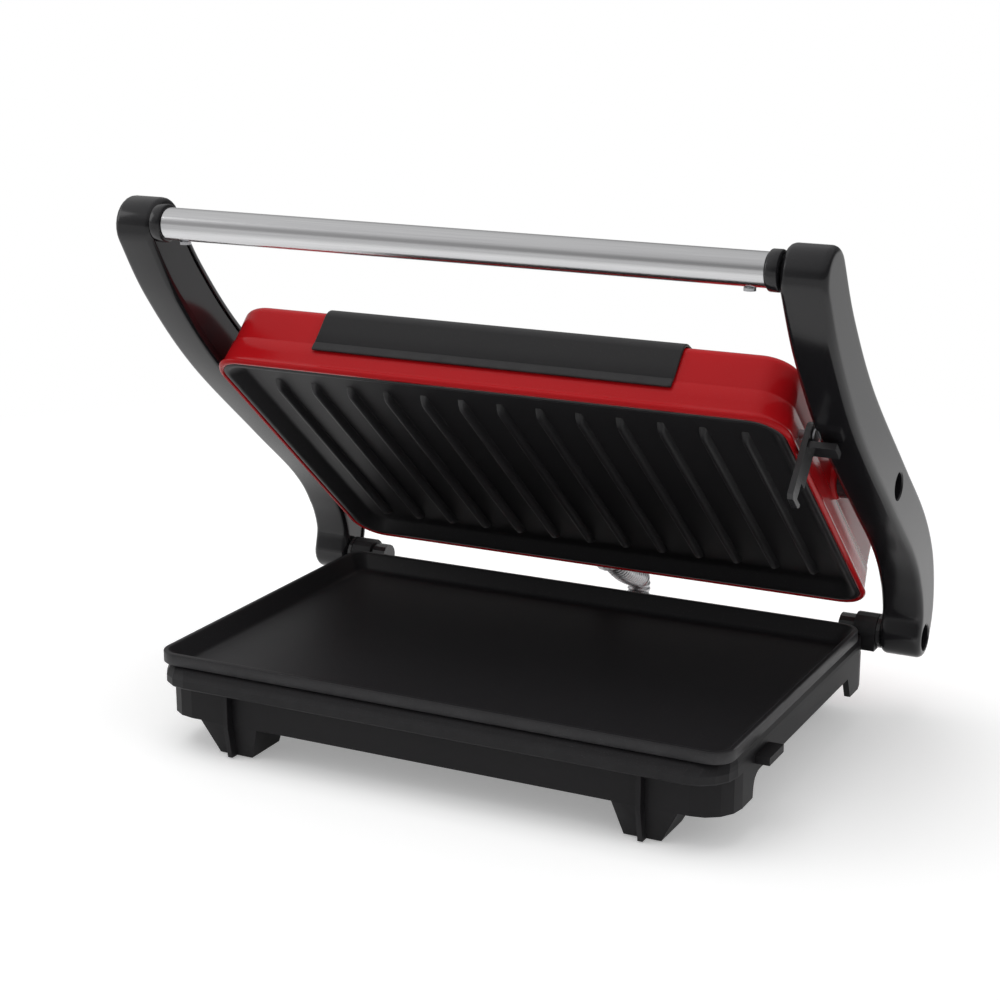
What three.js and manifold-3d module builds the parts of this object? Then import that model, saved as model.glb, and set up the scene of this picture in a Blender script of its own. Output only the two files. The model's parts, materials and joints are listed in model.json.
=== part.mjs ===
// A panini press: a low base with a flat griddle plate, a ribbed plate under a
// floating lid, and two curved arms that carry the lid and end in a tube handle.
// Millimetres, +X to the right, +Y to the back, +Z up. The press stands on z = 0.
import * as THREE from 'three';
import { mergeVertices } from 'three/addons/utils/BufferGeometryUtils.js';
import Module from 'manifold-3d';

const wasm = await Module();
wasm.setup();

// ---- Driving dimensions -------------------------------------------------------------

// Overall
const plateWidth = 240; // outer width of the lower cooking plate
const plateDepth = 155; // outer depth of the lower cooking plate
const rimHeight = 40; // lower plate's rim above the table
const openAngle = 41; // degrees that the arms stand open at rest
const touchGap = 0.3; // gap between pieces that touch
const closedGap = 1.6; // gap between the two plate rims with the lid shut

// Cooking plates
const plateCornerRadius = 8.5;
const plateRimWidth = 4.5;
const plateBodyRadius = 6; // corners of the part that drops into the housing
const plateRimLand = 2; // flat top of a plate's rim, with its rounded edge
const plateRimSlope = 5.6; // run of the recess wall from the land to the floor
const plateRimHeight = 4.9; // outer rim band, above the part that drops into the housing
const griddleDepth = 6.5; // recess of the lower plate
const plateFloor = 4; // metal under the recess
const ribbedDepth = 5; // recess of the upper plate
const ribCount = 13;
const ribPitch = 16.6;
const ribWidth = 3.6;
const ribHeight = 3;
const ribFrontGap = 18; // from the plate's front edge to the ribs
const ribRearGap = 14;

// Base housing, in heights below the lower plate's rim
const housingWall = 2.5;
const deckDrop = 5.2; // top of the shoulder under the rim
const flangeTopDrop = 9;
const flangeBottomDrop = 12.5;
const archDrop = 17.4; // bottom edge of the side walls between the corners
const skirtDrop = 26.4; // bottom edge of the front, the back and the corners
const flangeOverhang = 3.5; // flange in front of the plate's front edge
const frontWallSetback = 2.5; // front wall behind the plate's front edge
const sideWallInset = 0.2; // side walls inside the plate's side edges
const rearShelf = 11.4; // housing behind the plate's rear edge
const flangeCornerRadius = 15;
const deckCornerRadius = 11;
const deckSetback = 1; // top edge of the shoulder inside the flange's side edge
const wallCornerRadius = 14.5;

// Feet
const footInset = 33.4; // middle of a foot inside the plate's side edge
const footBottomWidth = 14.7;
const footTopWidth = 25.7;
const footDepth = 22.2;
const footRake = 2.7; // a front foot's face leans back from the skirt to the table
const footRibWidth = 2;
const footRibDepth = 3.6;
const padRadius = 5;
const padHeight = 1.9;
const padProud = 0.6;

// Bottom cover
const coverWall = 1.8;
const coverFlange = 2;
const panDrop = 26.3; // underside of the pan below the rim
const panSideInset = 14; // pan inside the plate's side edges
const panTongueHalfWidth = 70; // rear part of the pan, between the rear feet
const screwRadius = 1.5;
const screwHeadRadius = 3;
const screwHeadHeight = 1.6;

// Arms, measured from the arm hinge with the lid shut
const hingeSetback = 10; // hinge behind the plate's rear edge
const hingeDrop = 4.5; // hinge below the rim
const lidPivotHeight = 18.4; // lid pivot above the upper plate's rim
const handleReach = 53.5; // handle in front of the plate's front edge
const handleHeight = 31; // handle above the lower plate's rim
const armOffset = 6; // inner faces of the arms outside the plate's side edges
const armThickness = 17;
const armHalfWidth = 11;
const armHingeRadius = 8.6;
const armEdgeRadius = 2.6;
const armWall = 3;
const armCoverThickness = 1.8;
const armCoverRecess = 0.8;

// Hinge and pivot hardware
const knuckleRadius = 7;
const knuckleInset = 5.4; // inner end of a hinge knuckle inside the plate's side edge
const knuckleArmGap = 2.1; // room for the washer between a knuckle and its arm
const hingePinRadius = 4;
const hingeNutRadius = 5.5;
const hingeNutLength = 6.9;
const pivotPinRadius = 3;
const pivotBossRadius = 8;
const pivotBossLength = 11;
const pivotNutRadius = 5.5;
const pivotNutLength = 4.5;
const recessRadius = 5.2; // screw recess in the outer face of an arm
const recessDepth = 6;
const pinHeadLength = 3.5;

// Handle
const tubeRadius = 6.2;
const tubeWall = 1;
const collarRadius = 7.3;
const collarLength = 4.2;
const spigotLength = 14;
const socketDepth = 8;
const handleScrewInset = 7;

// Lid
const lidSideOverhang = 0.4; // lid cover outside the lower plate's side edge
const lidFrontOverhang = 1;
const lidWall = 2;
const lidBead = 0.7;
const lidCreaseHeight = 12.5;
const lidEdgeHeight = 28.8; // top of the front edge above the upper plate's rim
const lidCrownHeight = 32.6;
const lidCornerRadius = 13;
const lidEdgeRadius = 4.2; // between the walls and the top
const lidLean = 1.6; // lean of the walls from the rim to the crease
const lidCrownInset = 40;
const accentHalfWidth = 75.6;
const accentBottom = 9.3;
const accentDepth = 46; // reach of the accent panel over the lid, from its front face
const accentProud = 1.2;

// Latch, its place measured from the lower plate's centre with the lid shut
const latchPivotY = -55;
const latchPivotDrop = 9.5; // latch pivot above the lower plate's rim
const latchThickness = 2.2;
const latchOffset = 2.4; // latch outside the plate's side edge
const latchHalfWidth = 5;
const latchPinRadius = 1.8;
const catchTop = -10.4;
const catchThickness = 3;
const catchFront = -49;
const catchLength = 15;
const catchReach = 5.5; // catch outside the plate's side edge
const notchDepth = 4.5;
const notchMargin = 0.8; // hook opening above the catch
const hookDrop = 2.5; // hook opening below the catch
const hookJaw = 2.2;

// Heating and wiring
const elementRadius = 3.3;
const elementInset = 28; // heater loop inside the plate's side edges
const elementClearance = 3.2; // heater behind the pan's front wall
const shieldThickness = 0.8;
const conduitRadius = 5.2;
const conduitExit = 8.2; // conduit above the upper plate's rim
const conduitEntryDrop = 19; // conduit below the lower plate's rim
const conduitReach = 38; // furthest reach of its bend behind the housing
const ferruleWall = 2.2;
const ferruleLength = 5;
const glandX = -60;
const glandRadius = 6.5;
const glandBore = 3.6;

// ---- Derived places -----------------------------------------------------------------

const halfWidth = plateWidth / 2;
const halfDepth = plateDepth / 2;
const wallX = halfWidth - sideWallInset;
const rearY = halfDepth + rearShelf;
const frontWallY = -(halfDepth - frontWallSetback);
const flangeY = -(halfDepth + flangeOverhang);
const hingeY = halfDepth + hingeSetback;
const hingeZ = -hingeDrop;
const lidPivotZ = closedGap + lidPivotHeight;
const pivotFromHinge = new THREE.Vector2(-hingeY, lidPivotZ - hingeZ);
const tubeFromHinge = new THREE.Vector2(-(hingeY + halfDepth + handleReach), handleHeight - hingeZ);
const footCentreX = halfWidth - footInset;
const panHalfWidth = halfWidth - panSideInset;
const armInnerX = halfWidth + armOffset;
const armOuterX = armInnerX + armThickness;
const knuckleInnerX = halfWidth - knuckleInset;
const knuckleOuterX = armInnerX - knuckleArmGap;
const hingeNutInnerX = knuckleInnerX - hingeNutLength;
const latchInnerX = halfWidth + latchOffset;
const catchOuterX = halfWidth + catchReach;
const lidHalfWidth = halfWidth + lidSideOverhang;
const lidHalfDepth = halfDepth + lidFrontOverhang;
const plateBodyInset = plateRimWidth + touchGap;
const lowerPlateUnderside = -(griddleDepth + plateFloor);
const upperPlateBack = ribbedDepth + plateFloor;
const upperPlateHalfWidth = lidHalfWidth - lidWall - touchGap;
const upperPlateHalfDepth = lidHalfDepth - lidWall - touchGap;

// ---- Colours ------------------------------------------------------------------------

const paint = (color, roughness, metalness) => () =>
  new THREE.MeshStandardMaterial({ color, roughness, metalness });
const housingPlastic = paint(0x242326, 0.55, 0);
const armPlastic = paint(0x161518, 0.18, 0);
const nonStick = paint(0x1b1a1c, 0.42, 0.1);
const redGloss = paint(0xb5141c, 0.15, 0);
const accentSatin = paint(0x2c2c2e, 0.4, 0.2);
const brightTube = paint(0xc9c9cc, 0.22, 1);
const steel = paint(0x9c9ca0, 0.35, 1);
const aluminiumSheet = paint(0xb8b9bb, 0.4, 1);
const rubber = paint(0x1d1d1d, 0.85, 0);
const ceramic = paint(0xd8d2c4, 0.6, 0);

// ---- Geometry helpers ---------------------------------------------------------------

function toSolid(geometry) {
  const bare = geometry.clone();
  bare.deleteAttribute('normal');
  bare.deleteAttribute('uv');
  const merged = mergeVertices(bare, 1e-4);
  const vertProperties = new Float32Array(merged.attributes.position.array);
  const triVerts = new Uint32Array(merged.index.array);
  return new wasm.Manifold(new wasm.Mesh({ numProp: 3, vertProperties, triVerts }));
}

function toGeometry(solid) {
  const mesh = solid.getMesh();
  const geometry = new THREE.BufferGeometry();
  geometry.setAttribute('position', new THREE.BufferAttribute(mesh.vertProperties, 3));
  geometry.setIndex(new THREE.BufferAttribute(mesh.triVerts, 1));
  return geometry;
}

const join = (...solids) => solids.reduce((whole, piece) => whole.add(piece));
const cut = (body, ...tools) => tools.reduce((rest, tool) => rest.subtract(tool), body);

function piece(name, shape, material) {
  const geometry = shape.isBufferGeometry ? shape : toGeometry(shape);
  const mesh = new THREE.Mesh(geometry, material());
  mesh.name = name;
  return mesh;
}

function box(x, y, z) {
  const geometry = new THREE.BoxGeometry(x[1] - x[0], y[1] - y[0], z[1] - z[0]);
  geometry.translate((x[0] + x[1]) / 2, (y[0] + y[1]) / 2, (z[0] + z[1]) / 2);
  return toSolid(geometry);
}

// A round bar along X, Y or Z between two stations, centred on the other two coordinates.
function bar(axis, radius, from, to, centre, sides = 16) {
  const geometry = new THREE.CylinderGeometry(radius, radius, to - from, sides);
  geometry.translate(0, (from + to) / 2, 0);
  if (axis === 'x') {
    geometry.rotateZ(-Math.PI / 2);
    geometry.translate(0, centre[0], centre[1]);
  }
  if (axis === 'y') {
    geometry.translate(centre[0], 0, centre[1]);
  }
  if (axis === 'z') {
    geometry.rotateX(Math.PI / 2);
    geometry.translate(centre[0], centre[1], 0);
  }
  return toSolid(geometry);
}

// The same piece on the other side of the press.
function mirrored(solid) {
  const geometry = toGeometry(solid);
  geometry.scale(-1, 1, 1);
  const index = geometry.index.array;
  for (let i = 0; i < index.length; i += 3) {
    const first = index[i];
    index[i] = index[i + 1];
    index[i + 1] = first;
  }
  return toSolid(geometry);
}

const onSide = (side, solid) => (side > 0 ? solid : mirrored(solid));

// Points of a rectangle with round corners, anticlockwise from above.
function ringPoints({ halfX, front, rear, radius }, cornerSteps) {
  const corners = [
    [halfX - radius, front + radius, -Math.PI / 2],
    [halfX - radius, rear - radius, 0],
    [-halfX + radius, rear - radius, Math.PI / 2],
    [-halfX + radius, front + radius, Math.PI],
  ];
  const points = [];
  for (const [x, y, start] of corners) {
    for (let step = 0; step <= cornerSteps; step += 1) {
      const angle = start + (Math.PI / 2) * (step / cornerSteps);
      points.push([x + radius * Math.cos(angle), y + radius * Math.sin(angle)]);
    }
  }
  return points;
}

// A closed body through a stack of rounded rectangles, from the lowest up.
function loft(sections, cornerSteps = 4) {
  const positions = [];
  const index = [];
  const count = 4 * (cornerSteps + 1);
  for (const section of sections) {
    for (const [x, y] of ringPoints(section, cornerSteps)) {
      positions.push(x, y, section.z);
    }
  }
  for (let level = 0; level + 1 < sections.length; level += 1) {
    for (let i = 0; i < count; i += 1) {
      const a = level * count + i;
      const b = level * count + ((i + 1) % count);
      index.push(a, b, b + count, a, b + count, a + count);
    }
  }
  const last = (sections.length - 1) * count;
  for (let i = 1; i + 1 < count; i += 1) {
    index.push(0, i + 1, i);
    index.push(last, last + i, last + i + 1);
  }
  const geometry = new THREE.BufferGeometry();
  geometry.setAttribute('position', new THREE.Float32BufferAttribute(positions, 3));
  geometry.setIndex(index);
  return toSolid(geometry);
}

const section = (z, halfX, front, rear, radius) => ({ z, halfX, front, rear, radius });

// A flat outline in (x, z), extruded along Y.
function extrudeAlongY(points, y) {
  const shape = new THREE.Shape(points.map(([x, z]) => new THREE.Vector2(x, z)));
  const geometry = new THREE.ExtrudeGeometry(shape, { depth: y[1] - y[0], bevelEnabled: false });
  geometry.rotateX(Math.PI / 2);
  geometry.translate(0, y[1], 0);
  return toSolid(geometry);
}

// A flat outline in (y, z), extruded along X with rounded edges if asked.
function extrudeAlongX(shape, x, edge = 0) {
  const geometry = new THREE.ExtrudeGeometry(shape, {
    depth: x[1] - x[0] - 2 * edge,
    bevelEnabled: edge > 0,
    bevelThickness: edge,
    bevelSize: edge,
    bevelOffset: -edge,
    bevelSegments: 2,
    curveSegments: 6,
  });
  const frame = new THREE.Matrix4().makeBasis(
    new THREE.Vector3(0, 1, 0),
    new THREE.Vector3(0, 0, 1),
    new THREE.Vector3(1, 0, 0),
  );
  geometry.applyMatrix4(frame);
  geometry.translate(x[0] + edge, 0, 0);
  return toSolid(geometry);
}

// A round tube or rod along a curve.
function rodAlong(path, radius, steps, sides) {
  const circle = new THREE.Shape();
  for (let i = 0; i <= sides; i += 1) {
    const angle = (2 * Math.PI * i) / sides;
    const point = new THREE.Vector2(radius * Math.cos(angle), radius * Math.sin(angle));
    if (i === 0) {
      circle.moveTo(point.x, point.y);
    } else {
      circle.lineTo(point.x, point.y);
    }
  }
  return new THREE.ExtrudeGeometry(circle, { steps, extrudePath: path });
}

// ---- Base ---------------------------------------------------------------------------

const housingInner = wallX - housingWall;
const cavityRadius = wallCornerRadius - housingWall;
const openingHalfX = halfWidth - plateRimWidth;
const openingHalfY = halfDepth - plateRimWidth;
const panFront = frontWallY + footDepth + 3;
const panRear = rearY - footDepth - 3;
const panTongueRear = rearY - housingWall - 0.6;
const coverScrews = [
  [-footCentreX + 36, frontWallY + housingWall + 4.5],
  [footCentreX - 36, frontWallY + housingWall + 4.5],
  [-(wallX - 12), rearY - 12],
  [wallX - 12, rearY - 12],
];

function foot(side, y) {
  const bottom = -(rimHeight - padProud);
  const outline = [
    [footCentreX - footBottomWidth / 2, bottom],
    [footCentreX + footBottomWidth / 2, bottom],
    [footCentreX + footTopWidth * 0.56, -skirtDrop],
    [footCentreX + footTopWidth * 0.56, -flangeBottomDrop + 0.4],
    [footCentreX - footTopWidth * 0.44, -flangeBottomDrop + 0.4],
    [footCentreX - footTopWidth * 0.44, -skirtDrop],
  ];
  return onSide(side, extrudeAlongY(outline, y));
}

const frontFootY = [frontWallY + 0.05, frontWallY + footDepth];
const rearFootY = [rearY - footDepth, rearY - 0.05];
const middle = ([from, to]) => (from + to) / 2;

// What leans the front feet back: everything ahead of a line from the skirt to the table.
function rakeCut(ahead) {
  const top = frontWallY - ahead;
  const shape = new THREE.Shape();
  shape.moveTo(top, -skirtDrop);
  shape.lineTo(top + footRake, -rimHeight);
  shape.lineTo(top + footRake, -rimHeight - 1);
  shape.lineTo(top - 1, -rimHeight - 1);
  shape.lineTo(top - 1, -skirtDrop);
  shape.closePath();
  return extrudeAlongX(shape, [-halfWidth, halfWidth]);
}

function sideArch() {
  const front = frontWallY + 25.5;
  const rear = rearY - 29;
  const shape = new THREE.Shape();
  shape.moveTo(front - 0.5, -skirtDrop - 1);
  shape.lineTo(front, -archDrop - 6);
  shape.quadraticCurveTo(front + 0.5, -archDrop, front + 7, -archDrop);
  shape.lineTo(rear, -archDrop);
  shape.lineTo(rear + 4.5, -skirtDrop - 1);
  shape.closePath();
  return extrudeAlongX(shape, [housingInner - 2, wallX + 2]);
}

function baseHousing() {
  const body = join(
    loft([
      section(-skirtDrop, wallX, frontWallY, rearY, wallCornerRadius),
      section(-flangeBottomDrop + 0.4, wallX, frontWallY, rearY, wallCornerRadius),
    ]),
    loft([
      section(-flangeBottomDrop, wallX, flangeY + 0.6, rearY, flangeCornerRadius),
      section(-flangeBottomDrop + 0.7, wallX, flangeY, rearY, flangeCornerRadius),
      section(-flangeTopDrop, wallX, flangeY, rearY, flangeCornerRadius),
      section(-flangeTopDrop + 1.6, wallX - 0.2, flangeY + 1.6, rearY - 0.2, flangeCornerRadius - 1),
      section(-deckDrop, wallX - deckSetback, -halfDepth + 1.4, rearY - deckSetback, deckCornerRadius),
    ]),
  );
  const cavity = loft([
    section(-skirtDrop - 1, housingInner, frontWallY + housingWall, rearY - housingWall, cavityRadius),
    section(-flangeBottomDrop, housingInner, frontWallY + housingWall, rearY - housingWall,
      cavityRadius),
  ]);
  const opening = loft([
    section(-flangeBottomDrop - 1, openingHalfX, -openingHalfY, openingHalfY, plateBodyRadius),
    section(1, openingHalfX, -openingHalfY, openingHalfY, plateBodyRadius),
  ]);
  const archRight = sideArch();
  let housing = cut(body, cavity, opening, archRight, mirrored(archRight));

  for (const side of [-1, 1]) {
    for (const y of [frontFootY, rearFootY]) {
      const recess = bar('z', padRadius + touchGap, -rimHeight, -rimHeight + padHeight + touchGap,
        [side * footCentreX, middle(y)]);
      const leaning = y === frontFootY ? foot(side, y).subtract(rakeCut(0)) : foot(side, y);
      housing = housing.add(cut(leaning, recess));
    }
    const ribX = side * (footCentreX + 0.6);
    const frontRib = box(
      [ribX - footRibWidth / 2, ribX + footRibWidth / 2],
      [frontWallY - footRibDepth, frontWallY + footRake + 1],
      [-(rimHeight - padProud), -flangeBottomDrop + 0.4],
    );
    housing = housing.add(frontRib.subtract(rakeCut(footRibDepth)));
    housing = housing.add(onSide(side, hingeEar()));
  }
  for (const [x, y] of coverScrews) {
    const post = bar('z', 4.2, -archDrop + coverFlange + touchGap, -flangeBottomDrop + 0.4, [x, y]);
    const nearWall = box([x - 4, x + 4], [y < 0 ? y - 6 : y, y < 0 ? y : y + 8],
      [-archDrop + coverFlange + touchGap, -flangeBottomDrop + 0.4]);
    const hole = bar('z', screwRadius + touchGap, -archDrop, -flangeBottomDrop - 0.2, [x, y], 12);
    housing = cut(join(housing, post, nearWall), hole);
  }
  const catchPlate = box(
    [wallX - 1, catchOuterX],
    [catchFront, catchFront + catchLength],
    [catchTop - catchThickness, catchTop],
  );
  const nutRoom = [-1, 1].map((side) => onSide(side,
    bar('x', hingeNutRadius + 0.6, hingeNutInnerX - 1.2, knuckleInnerX, [hingeY, hingeZ])));
  const conduitHole = bar('y', conduitRadius + touchGap, rearY - 6, rearY + 2, [0, -conduitEntryDrop]);
  const glandHole = bar('y', glandRadius - 1.5 + touchGap, rearY - 6, rearY + 2,
    [glandX, -conduitEntryDrop]);
  housing = cut(housing.add(catchPlate), ...nutRoom);
  const bores = [-1, 1].map((side) => onSide(side,
    bar('x', hingePinRadius + touchGap, hingeNutInnerX, armInnerX, [hingeY, hingeZ])));
  return cut(housing, ...bores, conduitHole, glandHole);
}

function hingeEar() {
  const barrel = bar('x', knuckleRadius, knuckleInnerX, knuckleOuterX, [hingeY, hingeZ]);
  const block = box(
    [knuckleInnerX, knuckleOuterX],
    [hingeY - knuckleRadius, hingeY + knuckleRadius * 0.75],
    [hingeZ - knuckleRadius, hingeZ],
  );
  return join(barrel, block);
}

function bottomCover() {
  const top = -archDrop + coverFlange;
  const plate = loft([
    section(-archDrop, housingInner - 0.4, frontWallY + housingWall + 0.4,
      rearY - housingWall - 0.4, cavityRadius - 0.4),
    section(top, housingInner - 0.4, frontWallY + housingWall + 0.4,
      rearY - housingWall - 0.4, cavityRadius - 0.4),
  ]);
  const pan = (wall, low, high) => join(
    loft([
      section(low, panHalfWidth - wall, panFront + wall, panRear - wall, 8),
      section(high, panHalfWidth - wall, panFront + wall, panRear - wall, 8),
    ]),
    box([-panTongueHalfWidth + wall, panTongueHalfWidth - wall], [0, panTongueRear - wall],
      [low, high]),
  );
  let cover = cut(plate.add(pan(0, -panDrop, top)), pan(coverWall, -panDrop + coverWall, top + 1));
  for (const side of [-1, 1]) {
    for (const y of [frontFootY, rearFootY]) {
      const [from, to] = y;
      cover = cut(cover, onSide(side, box(
        [footCentreX - footTopWidth / 2 - 2, footCentreX + footTopWidth / 2 + 2.5],
        [from - 3, to + 0.6],
        [-archDrop - 1, top + 1],
      )));
    }
  }
  for (const [x, y] of coverScrews) {
    cover = cut(
      cover,
      bar('z', screwRadius + touchGap, -archDrop - 1, top + 1, [x, y], 12),
    );
  }
  for (const [x, radius] of [[glandX, glandRadius - 1.5], [0, conduitRadius]]) {
    const reach = radius + 2 * touchGap;
    const slot = join(
      bar('y', reach, panTongueRear - 6, panTongueRear + 1, [x, -conduitEntryDrop]),
      box([x - reach, x + reach], [panTongueRear - 6, panTongueRear + 1], [-conduitEntryDrop, top + 1]),
    );
    cover = cover.subtract(slot);
  }
  const postTop = shieldLow - touchGap;
  for (const x of [-80, 80]) {
    for (const y of [panFront + 12, panRear - 22]) {
      cover = cover.add(bar('z', 3.5, -panDrop + coverWall - 0.2, postTop, [x, y], 16));
    }
  }
  return cover;
}

function coverScrew(x, y) {
  const headLow = -archDrop - screwHeadHeight - touchGap;
  return join(
    bar('z', screwHeadRadius, headLow, headLow + screwHeadHeight, [x, y], 16),
    bar('z', screwRadius, headLow + 0.5, -flangeBottomDrop - 0.6, [x, y], 12),
  );
}

function lowerPlate() {
  const bodyX = halfWidth - plateBodyInset;
  const bodyY = halfDepth - plateBodyInset;
  const blank = join(
    loft([
      section(-plateRimHeight, halfWidth, -halfDepth, halfDepth, plateCornerRadius),
      section(-0.8, halfWidth, -halfDepth, halfDepth, plateCornerRadius),
      section(0, halfWidth - 0.8, -halfDepth + 0.8, halfDepth - 0.8, plateCornerRadius - 0.8),
    ]),
    loft([
      section(lowerPlateUnderside, bodyX, -bodyY, bodyY, plateBodyRadius),
      section(-plateRimHeight + 0.5, bodyX, -bodyY, bodyY, plateBodyRadius),
    ]),
  );
  const mouthX = halfWidth - plateRimLand;
  const mouthY = halfDepth - plateRimLand;
  const recess = loft([
    section(-griddleDepth, mouthX - plateRimSlope, -mouthY + plateRimSlope, mouthY - plateRimSlope,
      plateBodyRadius - 1.5),
    section(0.2, mouthX, -mouthY, mouthY, plateCornerRadius - plateRimLand),
  ]);
  return blank.subtract(recess);
}

// A U-shaped tubular heater; its two cold ends turn up towards the back.
function heaterLoop(z, rearReach) {
  const x = halfWidth - elementInset;
  const front = panFront + coverWall + elementClearance + elementRadius;
  const bend = 14;
  const path = new THREE.CurvePath();
  const at = (px, py) => new THREE.Vector3(px, py, z);
  path.add(new THREE.LineCurve3(at(-x, rearReach), at(-x, front + bend)));
  path.add(new THREE.QuadraticBezierCurve3(at(-x, front + bend), at(-x, front), at(-x + bend, front)));
  path.add(new THREE.LineCurve3(at(-x + bend, front), at(x - bend, front)));
  path.add(new THREE.QuadraticBezierCurve3(at(x - bend, front), at(x, front), at(x, front + bend)));
  path.add(new THREE.LineCurve3(at(x, front + bend), at(x, rearReach)));
  return rodAlong(path, elementRadius, 30, 6);
}

const lowerElementZ = lowerPlateUnderside - touchGap - elementRadius;
const shieldLow = lowerElementZ - elementRadius - 2.4;

function sheetTray(low, halfX, front, rear, rise) {
  return cut(
    loft([section(low, halfX, front, rear, 6), section(low + rise, halfX, front, rear, 6)]),
    loft([
      section(low + shieldThickness, halfX - shieldThickness, front + shieldThickness,
        rear - shieldThickness, 5),
      section(low + rise + 1, halfX - shieldThickness, front + shieldThickness,
        rear - shieldThickness, 5),
    ]),
  );
}

function terminalBlock() {
  const floor = -panDrop + coverWall + touchGap;
  const blockY = [panRear - 2, panRear + 12];
  let block = box([-58, -26], blockY, [floor, floor + 9]);
  for (const x of [-51, -42, -33]) {
    block = cut(block, bar('z', 2, floor + 4, floor + 10, [x, middle(blockY)], 12));
  }
  return block;
}

function cordGland() {
  const y = rearY;
  const profile = [
    [glandBore, y - 8],
    [glandRadius - 1.5, y - 8],
    [glandRadius - 1.5, y + touchGap],
    [glandRadius, y + touchGap],
    [glandRadius, y + 3],
    [glandRadius - 1.6, y + 10],
    [glandBore, y + 10],
    [glandBore, y - 8],
  ];
  return turnedAlongY(profile, glandX, -conduitEntryDrop);
}

// A ring turned about a line parallel to Y, from a profile in (radius, y).
function turnedAlongY(profile, x, z) {
  const geometry = new THREE.LatheGeometry(profile.map(([r, y]) => new THREE.Vector2(r, y)), 16);
  geometry.translate(x, 0, z);
  return geometry;
}

function ferrule(from, x, z) {
  const inner = conduitRadius + touchGap;
  const outer = inner + ferruleWall;
  return turnedAlongY([
    [inner, from],
    [outer, from],
    [outer, from + ferruleLength - 1],
    [outer - 1, from + ferruleLength],
    [inner, from + ferruleLength],
    [inner, from],
  ], x, z);
}

// ---- Conduit between lid and base ---------------------------------------------------

// A point of the shut lid, in the base's frame, turned to the angle the lid rests at.
function opened(y, z) {
  const angle = THREE.MathUtils.degToRad(openAngle);
  const dy = y - hingeY;
  const dz = z - hingeZ;
  return new THREE.Vector3(
    0,
    hingeY + dy * Math.cos(angle) + dz * Math.sin(angle),
    hingeZ - dy * Math.sin(angle) + dz * Math.cos(angle),
  );
}

function conduitHalves() {
  const lidZ = closedGap + conduitExit;
  const straight = ferruleLength + 1.5;
  const point = (y, z) => new THREE.Vector3(0, y, z);
  const lidEnd = opened(lidHalfDepth - lidWall + touchGap, lidZ);
  const lidMouth = opened(lidHalfDepth + straight, lidZ);
  const lidTangent = opened(lidHalfDepth + straight + conduitReach * 0.68, lidZ);
  const baseEnd = point(rearY - housingWall - 1, -conduitEntryDrop);
  const baseMouth = point(rearY + straight, -conduitEntryDrop);
  const baseTangent = point(rearY + straight + conduitReach * 0.42, -conduitEntryDrop);
  const bendY = rearY + conduitReach;
  const bendZ = -conduitEntryDrop + conduitReach * 0.15;
  const upper = new THREE.CurvePath();
  upper.add(new THREE.LineCurve3(lidEnd, lidMouth));
  upper.add(new THREE.CubicBezierCurve3(lidMouth, lidTangent, point(bendY, bendZ + 7),
    point(bendY, bendZ)));
  const lower = new THREE.CurvePath();
  lower.add(new THREE.CubicBezierCurve3(point(bendY, bendZ - 2 * touchGap),
    point(bendY, bendZ - conduitReach * 0.34), baseTangent, baseMouth));
  lower.add(new THREE.LineCurve3(baseMouth, baseEnd));
  return [rodAlong(upper, conduitRadius, 14, 10), rodAlong(lower, conduitRadius, 14, 10)];
}

// ---- Arms and handle, measured from the arm hinge with the lid shut -----------------

const armTip = new THREE.Vector2(tubeFromHinge.x + 4.8, tubeFromHinge.y + 1.6);
const alongArm = (share, rise) => new THREE.Vector2(
  THREE.MathUtils.lerp(pivotFromHinge.x, armTip.x, share),
  pivotFromHinge.y + rise,
);
const armRise = armTip.y - pivotFromHinge.y;
const armSpine = new THREE.SplineCurve([
  new THREE.Vector2(0, 0),
  new THREE.Vector2(-6, pivotFromHinge.y * 0.46),
  new THREE.Vector2(-22, pivotFromHinge.y * 0.86),
  new THREE.Vector2(-46, pivotFromHinge.y + 0.9),
  pivotFromHinge,
  alongArm(0.46, -0.8),
  alongArm(0.79, armRise * 0.37),
  armTip,
]);

function armOutline(inset) {
  const steps = 15;
  const arcSteps = 5;
  const one = [];
  const other = [];
  for (let i = 0; i <= steps; i += 1) {
    const u = i / steps;
    const swell = (armHingeRadius - armHalfWidth) * Math.max(0, 1 - u / 0.14);
    const reach = armHalfWidth + swell - inset;
    const point = armSpine.getPointAt(u);
    const along = armSpine.getTangentAt(u);
    one.push(new THREE.Vector2(point.x - along.y * reach, point.y + along.x * reach));
    other.unshift(new THREE.Vector2(point.x + along.y * reach, point.y - along.x * reach));
  }
  const arc = (centre, radius, from) => {
    const points = [];
    for (let i = 1; i < arcSteps; i += 1) {
      const angle = from - (Math.PI * i) / arcSteps;
      points.push(new THREE.Vector2(
        centre.x + radius * Math.cos(angle),
        centre.y + radius * Math.sin(angle),
      ));
    }
    return points;
  };
  const tipAngle = armSpine.getTangentAt(1).angle() + Math.PI / 2;
  const hingeAngle = armSpine.getTangentAt(0).angle() - Math.PI / 2;
  return new THREE.Shape([
    ...one,
    ...arc(armTip, armHalfWidth - inset, tipAngle),
    ...other,
    ...arc(armSpine.points[0], armHingeRadius - inset, hingeAngle),
  ]);
}

const armFittings = [
  { at: new THREE.Vector2(0, 0), boss: armHingeRadius - 1.5, pin: hingePinRadius },
  { at: pivotFromHinge, boss: armHalfWidth - 1, pin: pivotPinRadius },
];
const socketRadius = tubeRadius - tubeWall - touchGap;

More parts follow.
